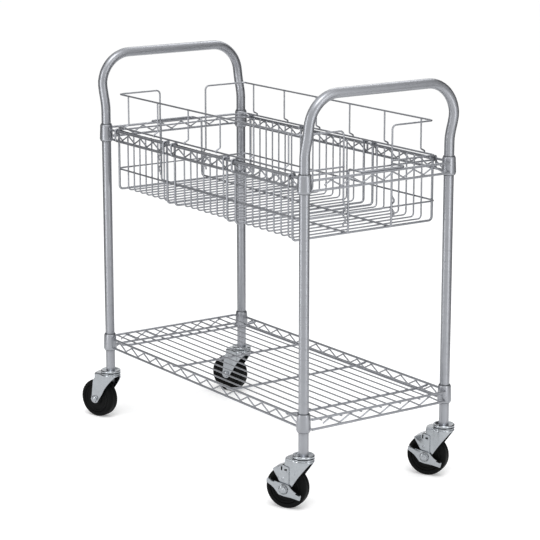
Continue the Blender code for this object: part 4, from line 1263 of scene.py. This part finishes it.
def fork_sheet():
    """The pressed fork as an open sheet: legs that run round into a front skirt, a bend and a crown."""
    columns = fork_columns()
    plan = columns + [((x, -y), (u, -v)) for (x, y), (u, v) in reversed(columns[:-1])]
    first_crowned, last_crowned = LEG_STEPS, len(plan) - 1 - LEG_STEPS
    rear_x, shoulder_z = FORK_REAR_EDGE[0]
    shoulder = (BEND_FOOT_Z - shoulder_z) / (BEND_FOOT_Z - fork_bottom(rear_x))
    leg_rows = [shoulder + (1 - shoulder) * step / ROW_STEPS for step in range(ROW_STEPS + 1)]
    rows = [0, shoulder / 2, *leg_rows]
    sheet = bmesh.new()
    grid = []
    for index, (place, outward) in enumerate(plan):
        crowned = first_crowned <= index <= last_crowned
        column = fork_column(place, outward, crowned, rows, shoulder)
        grid.append({row: sheet.verts.new(point) for row, point in column.items()})
    for first, second in zip(grid, grid[1:]):
        shared = sorted(set(first) & set(second))
        for row, after in zip(shared, shared[1:]):
            sheet.faces.new((first[row], second[row], second[after], first[after]))
    close_crown(sheet, [column[-BEND_STEPS] for column in grid[first_crowned : last_crowned + 1]])
    bmesh.ops.remove_doubles(sheet, verts=sheet.verts, dist=MERGE)
    bmesh.ops.recalc_face_normals(sheet, faces=sheet.faces)
    outermost = max(sheet.faces, key=lambda face: face.calc_center_median().y)
    if outermost.normal.y < 0:
        bmesh.ops.reverse_faces(sheet, faces=sheet.faces)
    return sheet


def add_hook(sheet, place):
    """The tongue pressed out of the fork's window, which hangs the brake shoe."""
    x, z, wide, tall = HOOK_SLOT
    root, face = FORK_OUTER_Y - FORK_PLATE, SHOE_INNER_Y + SHOE_PLATE
    foot = (z - tall / 2) * MM
    outline = [
        (root, foot),
        (root, foot + HOOK_STEP),
        (face + HOOK_STEP, foot + HOOK_STEP),
        (face + HOOK_STEP, foot - HOOK_DROP),
        (face + HOOK_GAP, foot - HOOK_DROP),
        (face + HOOK_GAP, foot),
    ]
    half = (wide * MM - HOOK_SPARE) / 2
    turn = Matrix(((0, 1, 0, x * MM), (1, 0, 0, 0), (0, 0, 1, 0), (0, 0, 0, 1)))
    add_plate(sheet, outline, -half, half, HOOK_EASE, place @ turn)


class FILE_CART_OT_caster_forks(bpy.types.Operator):
    """Press the caster forks with their raceway cups"""

    bl_idname = "file_cart.caster_forks"
    bl_label = "Caster Forks"

    def execute(self, context):
        x, z, wide, tall = HOOK_SLOT
        opening = rectangle(x + SWIVEL_LEAD / MM, z, wide, tall)
        inside, outside = FORK_OUTER_Y - 2 * FORK_PLATE, FORK_OUTER_Y + FORK_PLATE
        for corner in CORNERS:
            sheet = thicken(fork_sheet(), FORK_PLATE, FORK_EDGE)
            if corner in BRAKED:
                window = bmesh.new()
                add_plate(window, opening, inside, outside, SLOT_EASE)
                sheet = carve(sheet, window)
            place = axle_place(corner) @ Matrix.Translation((-SWIVEL_LEAD, 0, 0))
            bmesh.ops.transform(sheet, matrix=place, verts=sheet.verts)
            add_turned(sheet, in_mm(RACE_CUP, up=FORK_TOP), caster_place(corner))
            if corner in BRAKED:
                add_hook(sheet, axle_place(corner))
            finish_piece(sheet, "zinc", f"caster_{corner}", f"caster_fork_{corner}")
        return {"FINISHED"}


def add_hex(sheet, place, foot, height):
    """A hexagon with chamfered corners, from a face outwards along the axle."""
    radius = HEX_ACROSS / 2 / math.cos(math.pi / 6)
    profile = [
        (0, foot),
        (radius - HEX_CHAMFER, foot),
        (radius, foot + HEX_FOOT_CHAMFER),
        (radius, foot + height - HEX_TOP_CHAMFER),
        (radius - HEX_CHAMFER, foot + height),
        (0, foot + height),
    ]
    add_turned(sheet, profile, place, sides=6)


def bolt_sheet(place, head_face, nut_face):
    """An axle bolt: hexagon head, washer, plain shank and a thread under and past the nut."""
    sheet = bmesh.new()
    add_hex(sheet, place, head_face - BOLT_HEAD, BOLT_HEAD)
    washer = round_profile(in_mm(WASHER, up=head_face), WASHER_EDGE)
    add_turned(sheet, washer, place, WASHER_SIDES)
    foot = head_face - BOLT_SINK
    tip = nut_face + NUT_HEIGHT + THREAD_END
    shank = [(0, foot), (AXLE_RADIUS, foot), (AXLE_RADIUS, nut_face)]
    for turn in range(int((tip - nut_face) / THREAD_PITCH)):
        level = nut_face + turn * THREAD_PITCH
        shank += [(AXLE_RADIUS - depth, level + share * THREAD_PITCH) for depth, share in THREAD]
    shank += [*in_mm(BOLT_TIP, AXLE_RADIUS, tip), (0, tip)]
    add_turned(sheet, shank, place, SMALL_SIDES)
    return sheet


def nut_sheet(place, nut_face):
    """An axle nut: a hexagon between a flange and the dome of its lock ring."""
    sheet = bmesh.new()
    add_hex(sheet, place, nut_face + NUT_HEX_FOOT, NUT_HEX_HEIGHT)
    for profile in (NUT_FLANGE, NUT_DOME):
        add_turned(sheet, in_mm(profile, up=nut_face), place, WASHER_SIDES)
    return sheet


class FILE_CART_OT_axles(bpy.types.Operator):
    """Make the axle bolts and nuts with their washers"""

    bl_idname = "file_cart.axles"
    bl_label = "Axle Bolts and Nuts"

    def execute(self, context):
        head_face = -FORK_OUTER_Y - CLEARANCE
        for corner in CORNERS:
            place = axle_place(corner) @ ALONG_AXLE
            outside = LEVER_INNER_Y + LEVER_PLATE if corner in BRAKED else FORK_OUTER_Y
            nut_face = outside + CLEARANCE
            for name, sheet in (
                ("axle_bolt", bolt_sheet(place, head_face, nut_face)),
                ("axle_nut", nut_sheet(place, nut_face)),
            ):
                finish_piece(sheet, "zinc", f"caster_{corner}", f"{name}_{corner}")
        return {"FINISHED"}


class FILE_CART_OT_wheels(bpy.types.Operator):
    """Mould the wheel cores and the tyres on them"""

    bl_idname = "file_cart.wheels"
    bl_label = "Wheels"

    def execute(self, context):
        rim = AXLE_HEIGHT - TYRE_DEPTH
        core = in_mm(HUB) + in_mm(CORE_RIM, rim)
        tyre = in_mm(TYRE_SEAT, rim) + in_mm(TREAD, AXLE_HEIGHT)
        for corner in CORNERS:
            for name, half, kind in (("wheel_core", core, "plastic"), ("tyre", tyre, "rubber")):
                sheet = bmesh.new()
                place = axle_place(corner) @ ALONG_AXLE
                add_turned(sheet, both_sides(half, Y), place, WHEEL_SIDES)
                finish_piece(sheet, kind, f"wheel_{corner}", f"{name}_{corner}")
        return {"FINISHED"}


def shoe_sheet():
    """Brake shoe from the axle: a face plate with two pressed slots and a strip over the tread."""
    inside = AXLE_HEIGHT + SHOE_GAP
    face = SHOE_INNER_Y + SHOE_PLATE
    top = arc(inside + SHOE_PLATE, *SHOE_ANGLES, SHOE_STEPS)
    under = arc(inside, *reversed(SHOE_ANGLES), SHOE_STEPS)
    plate = bmesh.new()
    add_plate(plate, [SHOE_FACE[3], *top[:-1], *SHOE_FACE[:3]], SHOE_INNER_Y, face, SHOE_EASE)
    slots = bmesh.new()
    for slot in (SIGHT_SLOT, HOOK_SLOT):
        add_plate(slots, rectangle(*slot), SHOE_INNER_Y - SLOT_MARGIN, face + SLOT_MARGIN, SLOT_EASE)
    sheet = carve(plate, slots)
    x, z, wide, tall = SIGHT_SLOT
    lip = ((x + wide / 2) * MM + LIP_HALF, face, z * MM)
    add_bead(sheet, lip, (LIP_HALF, LIP_HALF, tall * MM), LIP_BEAD)
    add_plate(sheet, top + under, -SHOE_REACH, STRIP_END_Y, STRIP_EASE)
    spot_x, spot_z = DIMPLE_PLACE
    spot = Matrix.Translation((spot_x, face - DIMPLE_SINK, spot_z)) @ ALONG_AXLE
    add_turned(sheet, in_mm(DIMPLE), spot, SMALL_SIDES)
    return sheet


def lever_sheet():
    """Brake lever from the axle: a boss with an arm either way, and a tab bent out on each."""
    low, high = LEVER_INNER_Y, LEVER_INNER_Y + LEVER_PLATE
    outline = [Vector(point) for point in LEVER_OUTLINE]
    sheet = bmesh.new()
    add_plate(sheet, outline, low, high, LEVER_EASE)
    boss = [(0, low), (LEVER_BOSS, low), *in_mm(LEVER_BOSS_EDGE, LEVER_BOSS, high), (0, high)]
    add_turned(sheet, boss, ALONG_AXLE, BOSS_SIDES)
    for first, last in LEVER_TABS:
        start, end = outline[first], outline[last]
        down = Vector((end.y - start.y, start.x - end.x)).normalized()
        along = (end - start).normalized() * LEVER_TAB_SHORT
        start, end = start + along, end - along
        under = down * LEVER_PLATE
        edge = [start, end, end + under, start + under]
        add_plate(sheet, edge, low + LEVER_TAB_ROOT, low + LEVER_TAB, TAB_EASE)
    return sheet


class FILE_CART_OT_brakes(bpy.types.Operator):
    """Press the side-lock brakes: shoes and levers"""

    bl_idname = "file_cart.brakes"
    bl_label = "Side-lock Brakes"

    def execute(self, context):
        for corner in BRAKED:
            for piece, make in (("shoe", shoe_sheet), ("lever", lever_sheet)):
                sheet = make()
                bmesh.ops.transform(sheet, matrix=axle_place(corner), verts=sheet.verts)
                finish_piece(sheet, "zinc", f"{piece}_{corner}", f"brake_{piece}_{corner}")
        return {"FINISHED"}


def aim(obj, target):
    """Turn a lamp, a card or a camera, which face down when unturned, to a point."""
    obj.rotation_euler = (Vector(target) - obj.location).to_track_quat("-Z", "Y").to_euler()


def around(angle, distance, height):
    """A place by its angle round the cart, its distance from the middle and its height."""
    turn = math.radians(CAMERA_YAW - 90 + angle)
    return Vector((math.cos(turn) * distance, math.sin(turn) * distance, height))


def add_light(name, place, target, energy, size=None):
    """A softbox of the given width and height or, without a size, a soft sun."""
    data = bpy.data.lights.new(name, "AREA" if size else "SUN")
    data.energy = energy
    if size:
        data.shape = "RECTANGLE"
        data.size, data.size_y = size
    else:
        data.angle = SUN_SOFTNESS
    light = bpy.data.objects.new(name, data)
    bpy.context.scene.collection.objects.link(light)
    light.location = place
    aim(light, target)


def add_stage_square(name, size, material):
    """A flat stage piece, a square that faces up."""
    sheet = bmesh.new()
    bmesh.ops.create_grid(sheet, x_segments=1, y_segments=1, size=size / 2)
    flat = link_object(name, sheet)
    flat.data.materials.append(material)
    return flat


def seen_rays(tree):
    """One for rays that show a thing, straight or in a mirror, and zero for those that light one."""
    rays = add_node(tree, "ShaderNodeLightPath")
    seen = rays.outputs["Is Camera Ray"]
    for kind in ("Is Glossy Ray", "Is Transmission Ray"):
        seen = add_node(tree, "ShaderNodeMath", {0: seen, 1: rays.outputs[kind]}, operation="MAXIMUM")
    return seen


class FILE_CART_OT_stage(bpy.types.Operator):
    """Lay the floor, light the studio and set up the camera"""

    bl_idname = "file_cart.stage"
    bl_label = "Studio"

    def execute(self, context):
        studio = context.scene.file_cart_studio
        self.make_floor(studio)
        self.make_world(context, studio)
        add_light("Overhead_Softbox", KEY_PLACE, CART_MIDDLE, studio.key, KEY_SIZE)
        for name, angle, share in FILLS:
            place = around(angle, FILL_DISTANCE, SIDE_LEVEL)
            add_light(name, place, (0, 0, SIDE_LEVEL), studio.fill * share, FILL_SIZE)
        add_light("Back_Softbox", around(*BACK_PLACE), CART_MIDDLE, studio.back, BACK_SIZE)
        add_light("Soft_Sun", SUN_PLACE, CART_MIDDLE, studio.sun)
        for card in CARDS:
            self.make_card(*card)
        self.make_camera(context)
        context.scene.view_settings.view_transform = "Standard"
        return {"FINISHED"}

    def make_floor(self, studio):
        """Matt white paint; a little light of its own lifts it to white for eye and mirror alone."""
        material, tree, sockets = start_material("Floor_Paint_Matt")
        sockets["Base Color"].default_value = (*studio.floor, 1)
        sockets["Roughness"].default_value = 0.9
        sockets["Specular IOR Level"].default_value = 0.0
        sockets["Emission Color"].default_value = WHITE
        lift = {"Value": seen_rays(tree), "To Min": 0.0, "To Max": studio.lift}
        add_node(tree, "ShaderNodeMapRange", lift, to=sockets["Emission Strength"])
        add_stage_square("Studio_Floor", FLOOR_SIZE, material)

    def make_card(self, name, angle, width, code):
        """A dull card that only reflections show, for the darker edges of bright metal."""
        material, _, sockets = start_material(f"{name}_Felt")
        sockets["Base Color"].default_value = (*linear(code), 1)
        sockets["Roughness"].default_value = 1.0
        card = add_stage_square(name, width, material)
        card.location = around(angle, CARD_DISTANCE, SIDE_LEVEL)
        aim(card, (0, 0, SIDE_LEVEL))
        card.scale = (1, CARD_HEIGHT / width, 1)
        card.visible_camera = card.visible_diffuse = card.visible_shadow = False

    def make_world(self, context, studio):
        """White for the eye and for reflections, and a plain level for the light that it gives."""
        world = bpy.data.worlds.new("Studio_World")
        world.use_nodes = True
        context.scene.world = world
        background = world.node_tree.nodes["Background"].inputs
        background["Color"].default_value = WHITE
        level = {"Value": seen_rays(world.node_tree), "To Min": studio.sky, "To Max": 1.0}
        add_node(world.node_tree, "ShaderNodeMapRange", level, to=background["Strength"])

    def make_camera(self, context):
        """The photograph's view: tilted down at the cart, without a shift of the lens."""
        data = bpy.data.cameras.new("Photo_Camera")
        data.lens = CAMERA_LENS
        camera = bpy.data.objects.new("Photo_Camera", data)
        context.scene.collection.objects.link(camera)
        camera.location = CAMERA_PLACE
        camera.rotation_euler = (math.radians(90 - CAMERA_PITCH), 0, math.radians(CAMERA_YAW))
        context.scene.camera = camera


class FILE_CART_PT_panel(bpy.types.Panel):
    """Buttons for each step, with the sizes, colours and lights that they use"""

    bl_idname = "FILE_CART_PT_panel"
    bl_label = "File Cart"
    bl_space_type = "VIEW_3D"
    bl_region_type = "UI"
    bl_category = "File Cart"

    def draw(self, context):
        for operator in OPERATORS:
            self.layout.operator(operator.bl_idname)
        for name, group in GROUPS.items():
            box = self.layout.box()
            for setting in group.__annotations__:
                box.prop(getattr(context.scene, name), setting)


GROUPS = {
    "file_cart_sizes": FileCartSizes,
    "file_cart_finishes": FileCartFinishes,
    "file_cart_studio": FileCartStudio,
}
OPERATORS = (
    FILE_CART_OT_handles,
    FILE_CART_OT_sleeves,
    FILE_CART_OT_lower_shelf,
    FILE_CART_OT_upper_frame,
    FILE_CART_OT_basket_bays,
    FILE_CART_OT_basket_ties,
    FILE_CART_OT_file_rails,
    FILE_CART_OT_caster_stems,
    FILE_CART_OT_caster_forks,
    FILE_CART_OT_axles,
    FILE_CART_OT_wheels,
    FILE_CART_OT_brakes,
    FILE_CART_OT_stage,
)


def register():
    for name, group in GROUPS.items():
        bpy.utils.register_class(group)
        setattr(bpy.types.Scene, name, PointerProperty(type=group))
    for cls in (*OPERATORS, FILE_CART_PT_panel):
        bpy.utils.register_class(cls)


def unregister():
    for cls in (FILE_CART_PT_panel, *reversed(OPERATORS)):
        bpy.utils.unregister_class(cls)
    for name, group in reversed(GROUPS.items()):
        delattr(bpy.types.Scene, name)
        bpy.utils.unregister_class(group)


def main():
    register()
    for operator in OPERATORS:
        category, name = operator.bl_idname.split(".")
        getattr(getattr(bpy.ops, category), name)()


if __name__ == "__main__":
    main()
